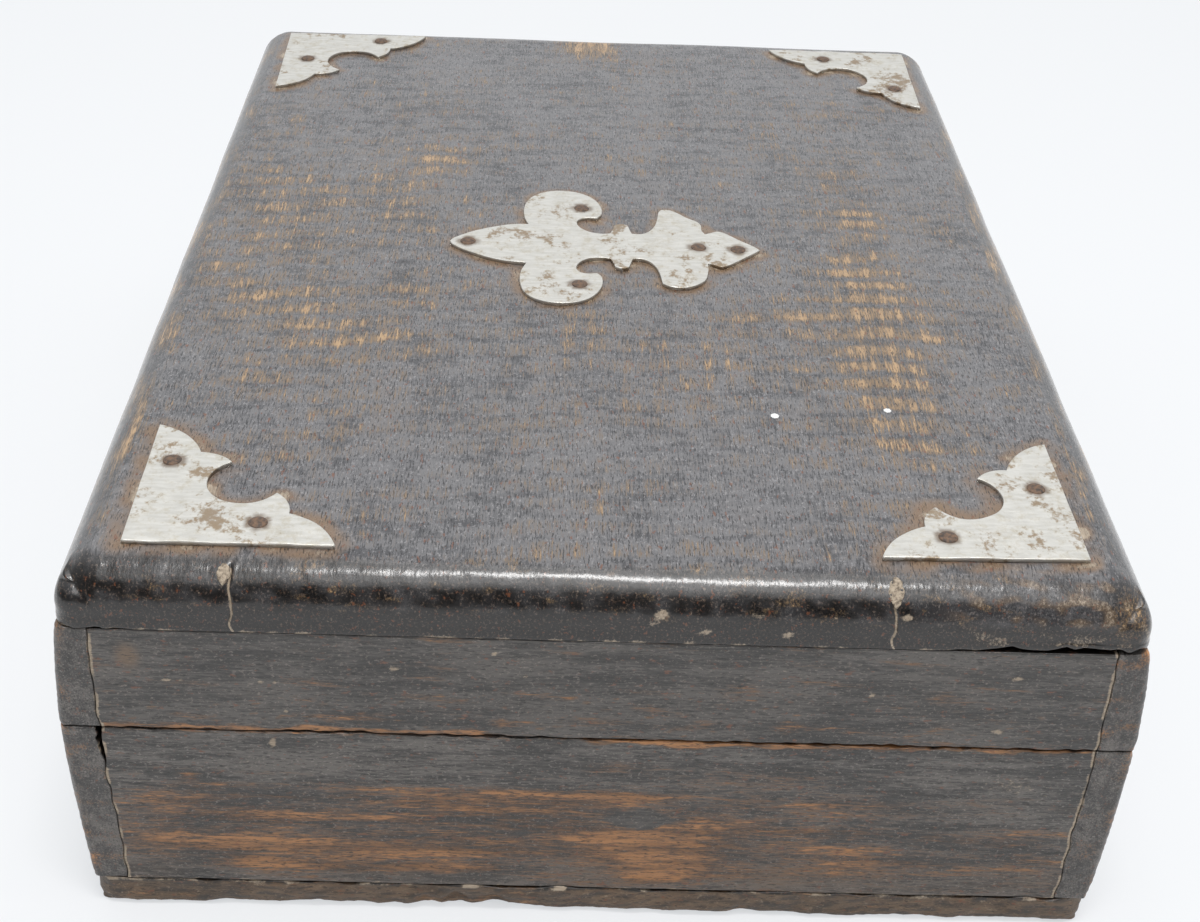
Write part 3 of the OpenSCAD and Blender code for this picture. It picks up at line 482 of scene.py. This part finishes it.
def long_board(name, lean_low, lean_high, bulge, seed):
    """A long board: a block whose outer face leans in by lean_low at its lower edge and by
    lean_high at its upper edge, and swells between them by bulge. It has round upright edges,
    nail pits, and in the back board the shallow beds of the hinge leaves."""
    z_low, z_high = span(name)[0][2], span(name)[1][2]
    sign = -1 if name.endswith("front") else 1
    y_low, y_high = sorted((sign * INNER, sign * SIDE))
    nail_zs = [z_low + 6, z_high - 6]
    xs = pit_lines(grid_lines(-END, END, 1.5, 0.35, 2.4), [-NAIL_X, NAIL_X])
    ys = grid_lines(y_low, y_high, 0.7, 0.3, 0.9)
    if sign > 0:
        # Close pairs of lines make the sides of the beds steep
        pair = (-0.04, 0.04)
        beds = [s * HINGE_X + t * LEAF_HALF + u for s in (-1, 1) for t in (-1, 1) for u in pair]
        xs = np.unique(np.concatenate([xs, beds]).round(5))
        ys = np.unique(np.concatenate([ys, [LEAF_Y + u for u in pair]]).round(5))
    points, quads = block(xs, ys, pit_lines(grid_lines(z_low, z_high, 0.9, 0.3, 0.9), nail_zs))
    in_bed = (abs(abs(points[:, 0]) - HINGE_X) < LEAF_HALF) & (points[:, 1] > LEAF_Y)
    for end in (-1, 1):
        round_edge(points, 0, 1, end * END, sign * SIDE, 2.0)
    points = soften(points, np.array([-END, y_low, z_low]), np.array([END, y_high, z_high]), 0.35)
    share = (abs(points[:, 1]) - INNER) / (SIDE - INNER)
    rise = (points[:, 2] - z_low) / (z_high - z_low)
    arch = bulge * (1 - (2 * rise - 1) ** 2)
    points[:, 1] -= sign * share * (lean_low * (1 - rise) + lean_high * rise - arch)
    skin = ease(share, 0.75, 0.97)
    swell = 0.10 * ripples(points, (60, 9, 22), seed) + 0.05 * ripples(points, (12, 3, 1.8), seed + 1) - 0.10
    for end in (-1, 1):
        for z in nail_zs:
            swell -= 0.42 * pit(points[:, 0], points[:, 2], (end * NAIL_X, z))
    points[:, 1] += sign * skin * swell
    points[:, 1] += joint_wander(points)
    at_end = ease(abs(points[:, 0]), END - 2, END - 0.3)
    points[:, 0] -= np.sign(points[:, 0]) * at_end * (0.10 + 0.08 * ripples(points, 3, seed + 2)).clip(0, 1)
    edge = ease(np.minimum(points[:, 2] - z_low, z_high - points[:, 2]), 2.0, 0.1) * skin
    points[:, 1] -= sign * edge * (0.15 + 0.2 * ripples(points, 7, seed + 3)).clip(0, 0.5)
    if name == "body_back":
        # The upper part of the left joint has split open
        split = 0.85 * ease(points[:, 2], 38.5, 43.5) * ease(points[:, 0], -130, -133)
        split *= 1 + 0.25 * ripples(points * [0, 0, 1], (9, 9, 1.6), 59)
        points[:, 1] += split * ease(share, 0.16, 0.0)
    # The beds are cut down into the upper edge of the body's board, and up into the lid's
    if "body" in name:
        points[in_bed, 2] = np.minimum(points[in_bed, 2], z_high - BED)
    else:
        points[in_bed, 2] = np.maximum(points[in_bed, 2], z_low + BED)
    worn = 0.55 * edge * (0.4 + 0.6 * ripples(points, 16, seed + 4))
    worn += 0.50 * ease(ripples(points, (38, 20, 4), seed + 5), 0.5, 1.5)
    corner = ease(END - abs(points[:, 0]), 3.0, 0.6) * ease(share, 0.5, 0.9)
    worn += 0.30 * corner * (0.3 + ripples(points, 9, seed + 6))
    dust = 0.42 * ease(share, 0.10, 0.04) * at_end * ease(ripples(points, (9, 9, 4), 39), -0.9, 0.5)
    dust += 0.30 * ease(ripples(points, 6, seed + 7), 1.0, 1.9)
    # Soot: painted shade on the inner face, and black dirt in patches
    soot = ease(share, 0.03, 0.005) + 0.25 * ease(ripples(points, (14, 14, 8), seed + 8), 0.3, 1.6)
    tapered(points)
    piece(name, points, quads, side_wood, "chest" if "body" in name else "lid", "dark_wood",
          worn=worn, dust=dust, soot=soot, grime=0.2 * edge)


body_lean = 2.3
long_board("body_front", body_lean, 0, 0.55, 40)
long_board("body_back", body_lean, 0, 0.40, 50)

# Partitions
# Two thin strips of bare wood that stand in grooves of the end boards and part the inside
# into three troughs.

inner_wood = Finish("bare_partition_wood")
fibre = inner_wood.noise(0.6, (16, 1, 1), detail=4, rough=0.6)
band = inner_wood.noise(4, (14, 1, 1), detail=3, shift=4.0)
colour = inner_wood.mix(inner_wood.step(band, 0.3, 0.7), (0.15, 0.085, 0.042), (0.27, 0.165, 0.085))
colour = inner_wood.mix(inner_wood.step(fibre, 0.5, 0.75, 0, 0.6), colour, (0.09, 0.052, 0.03))
inner_wood.done(colour, inner_wood.step(fibre, 0.3, 0.7, 0.55, 0.75), inner_wood.bump(fibre, 0.12))
for name in ("partition_front", "partition_back"):
    low, high = span(name)
    points, quads = block(grid_lines(low[0], high[0], 3, 0.5, 1.5),
                          grid_lines(low[1], high[1], 1.0, 0.4, 1.2),
                          grid_lines(low[2], high[2], 1.6, 0.4, 1.2))
    points = soften(points, low, high, 0.8)
    upper = ease(points[:, 2], high[2] - 3, high[2])
    points[:, 2] -= upper * (0.2 + 0.2 * ripples(points, (30, 9, 9), 61)).clip(0, 0.6)
    piece(name, points, quads, inner_wood.material, "chest", "bare_wood")

# Iron nails
# Cut nails with flat heads. Those of the boards are sunk and rusty, and those of the
# plates have low domed heads, dark brown with rust.

iron = Finish("rusty_iron")
rust = iron.noise(0.9, detail=4, rough=0.65)
patina = iron.mix(iron.step(rust, 0.35, 0.65), (0.055, 0.040, 0.032), (0.17, 0.105, 0.068))
iron.done(patina, iron.step(rust, 0.3, 0.7, 0.45, 0.75), iron.bump(rust, 0.12), metallic=0.3)
for name in ("body_corner_nails", "bottom_nails", "lid_corner_nails", "lid_top_nails",
             "corner_plate_nails", "fleur_plate_nails"):
    nodes[name].data.materials.clear()
    nodes[name].data.materials.append(iron.material)

# Hinges
# Two small cast brass butt hinges let into the rims of the back boards, gone brown with
# age, each with a riveted pin and six countersunk screws.

brass = Finish("tarnished_brass")
bloom = brass.noise(2.2, detail=4, rough=0.6)
fine = brass.noise(0.5, detail=3, shift=3.0)
tone = brass.mix(brass.step(bloom, 0.35, 0.65), (0.22, 0.145, 0.06), (0.50, 0.36, 0.15))
tone = brass.mix(brass.step(fine, 0.55, 0.75, 0, 0.6), tone, (0.06, 0.045, 0.028))
brass.done(tone, brass.step(bloom, 0.3, 0.7, 0.5, 0.32), brass.bump(fine, 0.05), metallic=0.9)
for name in ("hinge_left_body_leaf", "hinge_right_body_leaf", "hinge_left_pin", "hinge_right_pin",
             "body_hinge_screws", "hinge_left_lid_leaf", "hinge_right_lid_leaf", "lid_hinge_screws"):
    nodes[name].data.materials.clear()
    nodes[name].data.materials.append(brass.material)

# End boards of the lid
# Like those of the body, with their lower edge worn to orange wood at the seam. The left one
# also has small buff wear spots and one brown smear.

for name, sign, fine in (("lid_end_left", -1, 0.5), ("lid_end_right", 1, 1.0)):
    points, quads, face, aside, z_low, z_high = end_board(name, sign, fine)
    low_edge = ease(points[:, 2], z_low + 1.8, z_low) * face
    points[:, 2] += low_edge * (0.10 + 0.20 * ripples(points, (9, 5, 9), 71)).clip(0, 0.45)
    rough = 0.05 * ripples(points, (3, 14, 1.3), 72) + 0.07 * ripples(points, (8, 34, 14), 73)
    rough += 0.03 * ripples(points, (3, 3, 0.8), 77)
    points[:, 0] += sign * face * (rough - 0.06)
    y, z = points[:, 1], points[:, 2]
    bright_edge = ease(y, 8, 30)
    ragged = z_low + (1.1 + 0.45 * ripples(points * [0, 1, 0], (9, 7, 9), 78)) * (0.4 + 0.6 * bright_edge)
    worn = ease(ragged - z, -0.4, 0.4) * (0.25 + 0.95 * bright_edge) * face
    worn += 0.42 * ease(ripples(points, (9, 5, 1.8), 75), 0.7, 1.7) * ease(z, 66, 54)
    worn += 0.30 * ease(ripples(points, (9, 26, 3), 79), 0.6, 1.6)
    dust = 0.85 * ease(aside, 0.85, 0.45) * face * ease(ripples(points, (9, 9, 4), 39), -1.3, 0.3)
    grime = np.zeros(len(points))
    if sign < 0:
        reddish = [(46, 52.5, 9, 1.3, 0.50), (19, 51.8, 3, 0.8, 0.85), (2, 53, 6, 0.9, 0.50),
                   (-36, 52.8, 3, 1.2, 0.55), (-65, 53.4, 2.4, 1.2, 0.60), (-26, 62, 4, 2.2, 0.35),
                   (-66, 61, 4, 2.0, 0.35), (-20, 53, 3, 1, 0.4)]
        worn += patches(points * [0, 1, 1], [(0, a, b, 1e6, c, d, s) for a, b, c, d, s in reddish])
        buff = [(83.4, 61, 1.3, 0.5), (80.6, 61, 0.6, 0.4), (65.6, 60.8, 0.8, 0.5), (62.8, 60.8, 0.6, 0.4),
                (21, 69.4, 0.8, 0.6), (15, 64, 0.5, 0.4), (-51.5, 61.5, 0.7, 0.7), (40, 65, 1.0, 0.6),
                (61, 53.6, 0.6, 0.5), (-77, 53, 1.6, 0.7), (-79, 66.5, 1.6, 0.5), (101, 64, 0.7, 0.7)]
        dust += patches(points * [0, 1, 1], [(0, a, b, 1e6, c, d, 0.85) for a, b, c, d in buff])
        grime = patches(points * [0, 1, 1], [(0, 90.2, 66.8, 1e6, 2.6, 3.4, 0.9)])
    dust += 0.28 * ease(ripples(points, (5, 5, 2.4), 76), 1.0, 1.9)
    # Soot: the lid's end boards are darker all over, and painted shade blackens the faces in the joints with
    # the long boards and the upper face under the top board
    joint_shade = ease(aside, 0.20, 0.02) * ease(ripples(points, (9, 9, 3), 24), -0.2, 0.7)
    soot = 0.26 + joint_shade + ease(z, z_high - 0.30, z_high - 0.05)
    tapered(points)
    piece(name, points, quads, end_wood, "lid", "dark_wood",
          worn=worn, dust=dust, soot=soot, grime=grime)

# Long boards of the lid
# As those of the body, but they lean in upwards, and both swell alike between their edges.

lid_lean = 1.9
long_board("lid_front", 0, lid_lean, 0.45, 80)
long_board("lid_back", 0, lid_lean, 0.45, 90)

# Top board
# One thick board with its edge rounded over all round. Planing and wear left ribs across
# its grain, rubbed to brown wood in two broad bands along both sides. Its rounded edge is
# glossy at the left end, and painted shade makes it black there.

z_low, z_high = span("lid_top")[0][2], span("lid_top")[1][2]
half = SIDE - lid_lean
top_round = 9.2
left_corner, right_corner = 4.0, 9.0
# How far its back edge runs in at the right end, and where across the chest the cracks are
back_taper = 2.0
cracks = (70.2, -53.9)
top_wood = stained_wood("stained_top_board", 0, (0.047, 0.047, 0.051), (0.131, 0.128, 0.132),
                        (0.34, 0.222, 0.118), 0.46, streaky=0.25, haze=0.03, coat=0.60, ior=1.30,
                        paint=[(-77, -35.5, z_high, 0.8), (-73.5, -59.8, z_high, 0.7)])
xs = grid_lines(-END, END, 1.8, 0.55, 11.0)
crack_lines = [centre + np.arange(-1.4, 1.5, 0.2) for centre in cracks]
ys = np.unique(np.concatenate([grid_lines(-half, half, 1.7, 0.55, 9.9), *crack_lines]).round(4))
points, quads = block(xs, ys, grid_lines(z_low, z_high, 0.5, 0.3, 0.6))
for sx, radius in ((-1, left_corner), (1, right_corner)):
    for sy in (-1, 1):
        round_edge(points, 0, 1, sx * END, sy * half, radius)
for k, far in ((0, END), (1, half)):
    for s in (-1, 1):
        round_edge(points, k, 2, s * far, z_high, top_round)
points = soften(points, np.array([-END, -half, z_low]), np.array([END, half, z_high]), 0.3)
normals = outward(points, quads)
x, y, z = points.T.copy()
rim = np.minimum(END - abs(x), half - abs(y))
bent = ease(rim, 10, 5)
upper = ease(z, z_low + 0.6, z_low + 3)
# The ribs run across the chest, and bend towards the right end at the front
turn = 2 * np.pi / 7.6 * (x + 0.08 * y + 0.00067 * y * y) + 0.9 * ripples(points, (40, 30, 40), 112)
rib = 0.7 * np.sin(turn) + 0.3 * np.sin(2 * turn + 1 + ripples(points, 30, 113))
swell = 0.10 * ripples(points, (45, 45, 30), 101) * bent + 0.018 * ripples(points, (4, 1.8, 4), 102) * bent
swell += (0.045 * rib + 0.08 * ripples(points, (30, 40, 30), 103)) * (1 - bent) - 0.12 * bent
# Drying cracks of the left end, from the plugs down to the frame
crack = np.zeros(len(points))
for centre in cracks:
    middle = centre + 0.40 * ripples(points * [0, 0, 1], (9, 9, 4), 104)
    crack += np.exp(-((y - middle) / 0.26) ** 2) * ease(x, -130, -134) * ease(z, 85.6, 84.5)
swell -= 0.55 * crack
points += normals * (swell * upper)[:, None]
# The lower edge stands off the frame where the board has warped
lift = 1.45 * ease(y, -58, -84) * (0.8 + 0.35 * ripples(points * [0, 1, 0], (9, 3.5, 9), 105))
lift += 0.45 * ease(y, 84, 92) * ease(ripples(points * [0, 1, 0], (9, 4, 9), 110), -0.4, 0.8)
lift = lift.clip(0, 2) * ease(x, -130, -135)
points[:, 2] += lift * ease(z, z_low + 3.0, z_low + 0.4)
tapered(points, back_taper)
x, y, z = points.T.copy()
flat = ease(z, z_high - 1.2, z_high - 0.2)
# Rubbed patches of the top: place along and across, half lengths along and across, strength
rubbed = [(-26, -63, 11, 10, 0.90), (-45, -61, 12, 12, 0.95), (-62, -60, 9, 11, 0.70),
          (-74, -62, 8, 9, 0.58), (-8, -61, 10, 8, 0.72), (14, -64, 13, 8, 0.66),
          (40, -60, 9, 9, 0.50), (66, -42, 12, 10, 0.30), (46, 43, 9, 10, 0.64),
          (26, 50, 11, 10, 0.46), (-5, 83, 7, 10, 0.52), (-21, 90, 8, 9, 0.50),
          (-30, 71, 9, 13, 0.42), (-69, 68, 10, 15, 0.40), (-54, 53, 11, 11, 0.46),
          (-42, 76, 11, 15, 0.40), (-32, 45, 9, 11, 0.38), (8, 76, 14, 17, 0.40),
          (28, 82, 12, 14, 0.36), (58, 86, 12, 9, 0.30), (-52, -24, 15, 17, 0.36),
          (-37, 6, 15, 12, 0.32), (-71, -15, 9, 15, 0.28), (-32, -36, 11, 12, 0.36),
          (-88, -63, 7, 7, 0.42), (75, -60, 14, 7, 0.28), (-86, 20, 12, 16, 0.20)]
worn = patches(points, [(a, b, 86, c, d, 30, s) for a, b, c, d, s in rubbed]) * (0.60 + 0.50 * rib) * flat
band = 1 + patches(points, [(-15, 62, 86, 70, 34, 30, 1), (-25, -62, 86, 70, 22, 30, 1)])
worn += 0.115 * (1 + rib) * flat * band * (1 + 0.6 * ripples(points, (22, 34, 30), 118))
broken = 0.5 + 0.5 * rib * (0.75 + 0.45 * ripples(points, (9, 26, 30), 119))
bevel = ease(rim, 9.5, 6.0) * ease(z, z_low + 3, z_low + 7)
worn += bevel * (0.30 + 0.40 * ripples(points, (20, 9, 9), 106)) * ease(abs(y), 88, 98) * ease(x, -128, -110)
worn += bevel * ease(abs(y), 96, 80) * 0.30 * ease(ripples(points, (7, 9, 2.5), 107), 0.4, 1.4)
worn += patches(points, [(126, 4, 86, 8, 6.5, 5, 1.5), (-134, -98, 80, 4, 3, 4, 0.8)])
at_left = ease(x, -127, -133)
# Soot: painted shade. The left end's rounded edge and the upright face below it are painted black where they
# would mirror dark surroundings; the rounded edges and sides elsewhere are darker; the underside along the
# rim is black where it lies on the frame
glossy_shaded_band = ease(z, 77.5, 80.5) * ease(z, 85.9, 85.2)
soot = at_left * glossy_shaded_band * (0.55 + 0.45 * ease(y, -72, -50)) * (0.9 + 0.2 * ripples(points, 4, 117))
soot += 0.96 * at_left * ease(z, 80.5, 77.5) + 0.45 * (1 - at_left) * ease(z, 85.9, 85.2)
soot += ease(z - lift, z_low + 0.25, z_low + 0.02) * ease(rim, 10, 9) * 0.8


def rim_points(name):
    """Places every 0.8 mm or less along all edges of a CAD plate's mesh, seen from above."""
    mesh = nodes[name].data
    corners = np.empty(len(mesh.vertices) * 3)
    mesh.vertices.foreach_get("co", corners)
    corners = corners.reshape(-1, 3)[:, :2] / MM
    pairs = np.empty(len(mesh.edges) * 2, int)
    mesh.edges.foreach_get("vertices", pairs)
    a, b = corners[pairs[::2]], corners[pairs[1::2]]
    count = np.ceil(np.linalg.norm(b - a, axis=1) / 0.8).astype(int)
    places = [start + (end - start) * np.linspace(0, 1, n + 1)[:, None]
              for start, end, n in zip(a, b, count)]
    return np.unique(np.concatenate(places).round(1), axis=0)


# Dirt has gathered round the plates, in the widest bands round the two at the left end
PLATES = ("corner_plate_back_left", "corner_plate_front_left", "corner_plate_back_right",
          "corner_plate_front_right", "fleur_plate")
halo = np.zeros(len(points))
for name in PLATES:
    rims = rim_points(name)
    close = np.flatnonzero((z > 83) & (np.abs(points[:, :2] - rims.mean(0)).max(1) < 60))
    away = np.sqrt(((points[close, None, :2] - rims[None]) ** 2).sum(2).min(1))
    wide = 3.4 if "left" in name else 1.8
    halo[close] = np.maximum(halo[close], ease(away, wide + 2.2, 0.6))
halo *= 0.75 + 0.35 * ripples(points, 7, 114)
speckled = ease(ripples(points, 5, 115), -0.2, 1.0) * at_left * ease(y, -56, -72) * ease(z, 73.5, 75)
grime = 0.95 * halo + 0.75 * speckled + 0.15 * ease(ripples(points, 26, 116), 0.2, 1.4) * flat
grime += 0.6 * ease(rim, 9, 10) * ease(z, z_low + 0.6, z_low + 0.2)
dust = crack + 0.28 * ease(ripples(points, 7, 108), 1.0, 1.9) + 0.50 * halo ** 3 + 0.45 * speckled
dust += 0.65 * ease(z, z_low + 1.0, z_low + 0.3) * ease(ripples(points, (9, 6, 9), 109), -0.4, 0.8) * at_left
tan_spots = [(-10, 79.5, 1.0, 0.8), (-9, 77.4, 0.7, 0.6), (-28, 79.8, 1.0, 0.7), (-34, 75.8, 1.2, 0.8),
             (-18.5, 76, 0.8, 0.7), (-56, 80, 1.0, 0.7), (-43, 79.6, 0.5, 0.5)]
dust += patches(points, [(-END, a, b, 9, c, d, 1.0) for a, b, c, d in tan_spots])
piece("lid_top", points, quads, top_wood, "lid", "dark_wood",
      worn=worn, dust=dust, soot=soot, grime=grime, rib=broken * (1 - bent))

# Filler plugs
# Dry buff filler over the sunk nails of the top board, in upright ovals that follow its
# rounded edge.

filler = Finish("dry_filler")
grain = filler.noise(0.8, detail=5, rough=0.7)
colour = filler.mix(filler.step(grain, 0.34, 0.60), (0.13, 0.10, 0.07), (0.40, 0.33, 0.25))
filler.done(colour, filler.step(grain, 0.3, 0.7, 0.65, 0.85), filler.bump(grain, 0.3))
# End of the chest, place across it, and half width and half height along the surface
ovals = [(-1, 71.4, 1.15, 2.0), (-1, -54.0, 1.35, 2.9), (1, 71.4, 1.4, 2.2), (1, -54.0, 1.4, 2.2)]
plug_points, plug_quads = [], []
for end, middle, wide, tall in ovals:
    box, sides = block(np.linspace(-1, 1, 13), np.linspace(-1, 1, 17), np.array([-1.2, 0.0]))
    across, rise, depth = box.T
    to_round = np.maximum(abs(across), abs(rise)) / np.maximum(np.hypot(across, rise), 1e-9)
    across, rise = across * to_round * wide, rise * to_round * tall
    worn_down = 1 + 0.12 * ripples(box * [1, 1, 0], 0.8, 120)
    angle = np.radians(38 if end < 0 else 45) + rise * worn_down / top_round
    out = top_round - 0.10 + depth + 0.06 * ripples(box, 0.7, 121)
    place = np.stack([end * (END - top_round + out * np.sin(angle)), middle + across * worn_down,
                      z_high - top_round + out * np.cos(angle)], -1)
    tapered(place, back_taper)
    plug_quads.append((sides if end < 0 else sides[:, ::-1]) + sum(map(len, plug_points)))
    plug_points.append(place)
piece("nail_plugs", np.concatenate(plug_points), np.concatenate(plug_quads), filler.material,
      "lid", "filler")

# Sheet metal plates
# Stamped plates of light grey sheet metal: four corner plates and a fleur-de-lis, with
# burnished edges, brown stains and rust round the nails.

sheet = Finish("stained_sheet_metal")
stain = sheet.noise(2.2, detail=6, rough=0.70)
blot = sheet.noise(10, detail=3, shift=6.0)
scratch = sheet.noise(0.6, (1.5, 7, 1), detail=3, shift=2.0)
metal = sheet.mix(sheet.step(scratch, 0.3, 0.7), (0.545, 0.53, 0.49), (0.635, 0.62, 0.58))
metal = sheet.mix(sheet.step(stain, 0.46, 0.66, 0, 0.45), metal, (0.43, 0.38, 0.28))
spread = sheet.calc("ADD", stain, blot)
metal = sheet.mix(sheet.step(spread, 1.07, 1.22, 0, 0.80), metal, (0.25, 0.17, 0.095))
metal = sheet.mix(sheet.step(sheet.mark("rust"), 0.15, 0.95, 0, 0.75), metal, (0.16, 0.105, 0.065))
gloss = sheet.calc("MULTIPLY_ADD", stain, 0.30, 0.30)
normal = sheet.bump(sheet.noise(5, detail=2, shift=1.0), 0.35)
normal = sheet.bump(stain, 0.07, normal)
sheet.done(metal, gloss, normal, metallic=0.72)


def plate(name, tacks):
    """A copy of the plate's CAD mesh, merged, with its rims bevelled, cut into small faces and
    bent up and down by a few hundredths of a millimetre."""
    low, high = span(name)
    shape = bmesh.new()
    shape.from_mesh(nodes[name].data)
    bmesh.ops.remove_doubles(shape, verts=shape.verts, dist=1e-6)
    bmesh.ops.dissolve_limit(shape, angle_limit=0.02, verts=shape.verts, edges=shape.edges)
    sharp = [e for e in shape.edges if e.is_manifold and e.calc_face_angle() > 1.0
             and min(v.co.z for v in e.verts) > (high[2] - 0.05) * MM]
    bmesh.ops.bevel(shape, geom=sharp, offset=0.25 * MM, segments=2, profile=0.6, affect="EDGES",
                    clamp_overlap=True)
    bmesh.ops.triangulate(shape, faces=[f for f in shape.faces if len(f.verts) > 4])
    for k in (0, 1):
        for at in np.arange(low[k] + 1, high[k], 1.6):
            normal = Vector((1, 0, 0)) if k == 0 else Vector((0, 1, 0))
            bmesh.ops.bisect_plane(shape, geom=shape.verts[:] + shape.edges[:] + shape.faces[:],
                                   dist=1e-7, plane_co=normal * at * MM, plane_no=normal)
    mesh = bpy.data.meshes.new(name + "_skin")
    shape.to_mesh(mesh)
    shape.free()
    points = np.empty(len(mesh.vertices) * 3)
    mesh.vertices.foreach_get("co", points)
    points = points.reshape(-1, 3) / MM
    points[:, 2] += (points[:, 2] > low[2] + 0.3) * 0.07 * ripples(points * [1, 1, 0], 9, 111)
    mesh.vertices.foreach_set("co", (points * MM).ravel())
    rust = np.zeros(len(points))
    for x, y in tacks:
        away = np.hypot(points[:, 0] - x, points[:, 1] - y)
        rust += ease(away, 3.3, 2.0)
    put(mesh, sheet.material, "lid", name, {"rust": rust})


def nail_places(name):
    """The middles of a node's nails, where points within 4.2 mm of one point are one nail."""
    points = np.array([v.co for v in nodes[name].data.vertices]) / MM
    places = []
    while len(points):
        close = np.hypot(*(points[:, :2] - points[0, :2]).T) < 4.2
        spot = points[close, :2]
        places.append((spot.max(0) + spot.min(0)) / 2)
        points = points[~close]
    return places


plate_tacks = nail_places("corner_plate_nails") + nail_places("fleur_plate_nails")
for name in PLATES:
    plate(name, plate_tacks)

# Studio
# A pale table, a white surround, three soft lamps and the photograph's viewpoint.

floor_mesh = bpy.data.meshes.new("pale_table")
floor_mesh.from_pydata([(-4, -4, 0), (4, -4, 0), (4, 4, 0), (-4, 4, 0)], [], [(0, 1, 2, 3)])
floor = bpy.data.objects.new("pale_table", floor_mesh)
bpy.context.scene.collection.objects.link(floor)
cloth = Finish("pale_table_top")
seen = cloth.node("ShaderNodeLightPath", {}, "Is Camera Ray")
soft = cloth.node("ShaderNodeBsdfDiffuse", {"Color": (0.86, 0.865, 0.87, 1)})
glow = cloth.node("ShaderNodeEmission", {"Color": (0.83, 0.85, 0.875, 1), "Strength": 1.0})
both = cloth.node("ShaderNodeMixShader", {0: cloth.calc("MULTIPLY", seen, 0.72), 1: soft, 2: glow})
cloth.node("ShaderNodeOutputMaterial", {0: both})
floor_mesh.materials.append(cloth.material)

world = bpy.data.worlds.new("white_surround")
bpy.context.scene.world = world
world.use_nodes = True
tree = world.node_tree
tree.nodes.clear()
direction = tree.nodes.new("ShaderNodeTexCoord").outputs["Generated"]
facing = tree.nodes.new("ShaderNodeVectorMath")
facing.operation = "DOT_PRODUCT"
facing.inputs[1].default_value = (0.85, 0.0, 0.35)
tree.links.new(direction, facing.inputs[0])
shade = tree.nodes.new("ShaderNodeMapRange")
shade.interpolation_type = "SMOOTHSTEP"
for k, value in ((1, -0.50), (2, 0.60), (3, 0.10), (4, 1.0)):
    shade.inputs[k].default_value = value
tree.links.new(facing.outputs["Value"], shade.inputs[0])
path = tree.nodes.new("ShaderNodeLightPath")
level = tree.nodes.new("ShaderNodeMix")
level.inputs[3].default_value = 1.0
tree.links.new(path.outputs["Is Camera Ray"], level.inputs[0])
tree.links.new(shade.outputs[0], level.inputs[2])
sky = tree.nodes.new("ShaderNodeBackground")
sky.inputs["Color"].default_value = (0.95, 0.975, 1.0, 1)
tree.links.new(level.outputs[0], sky.inputs["Strength"])
tree.links.new(sky.outputs[0], tree.nodes.new("ShaderNodeOutputWorld").inputs[0])

# Place, size along X and Y, tilt and power of the wide panel overhead, of the small lamp below
# it and of a panel behind the viewpoint
for name, x, z, length, width, tilt, power in (("soft_panel", -0.34, 1.60, 1.50, 0.80, -0.12, 10.0),
                                               ("small_lamp", -0.38, 1.45, 0.18, 0.42, -0.12, 10.0),
                                               ("rear_panel", -0.88, 1.14, 0.50, 1.00, -0.61, 3.2)):
    lamp = bpy.data.lights.new(name, "AREA")
    lamp.shape = "RECTANGLE"
    lamp.size, lamp.size_y = length, width
    lamp.energy = power
    lamp.color = (1.0, 0.99, 0.98)
    lamp_object = bpy.data.objects.new(name, lamp)
    lamp_object.location = (x, -0.06, z)
    lamp_object.rotation_euler = (0.0, tilt, 0.0)
    bpy.context.scene.collection.objects.link(lamp_object)

# Focal length, place and turn come from a least-squares fit to the photograph's corners
camera = bpy.data.cameras.new("camera")
camera.sensor_width = 36
camera.lens = 57.366
camera.clip_start = 0.01
eye = bpy.data.objects.new("camera", camera)
right = Vector((-0.004943, -0.999282, 0.037574))
up = Vector((0.556867, 0.028458, 0.830114))
back = right.cross(up)
turn = Matrix((right, up, back)).transposed().to_4x4()
eye.matrix_world = Matrix.Translation((-0.416886, 0.011135, 0.301005)) @ turn
bpy.context.scene.collection.objects.link(eye)
bpy.context.scene.camera = eye
bpy.context.scene.view_settings.view_transform = "Standard"


def corners(box):
    return [[float(c) for c in corner] for corner in box]
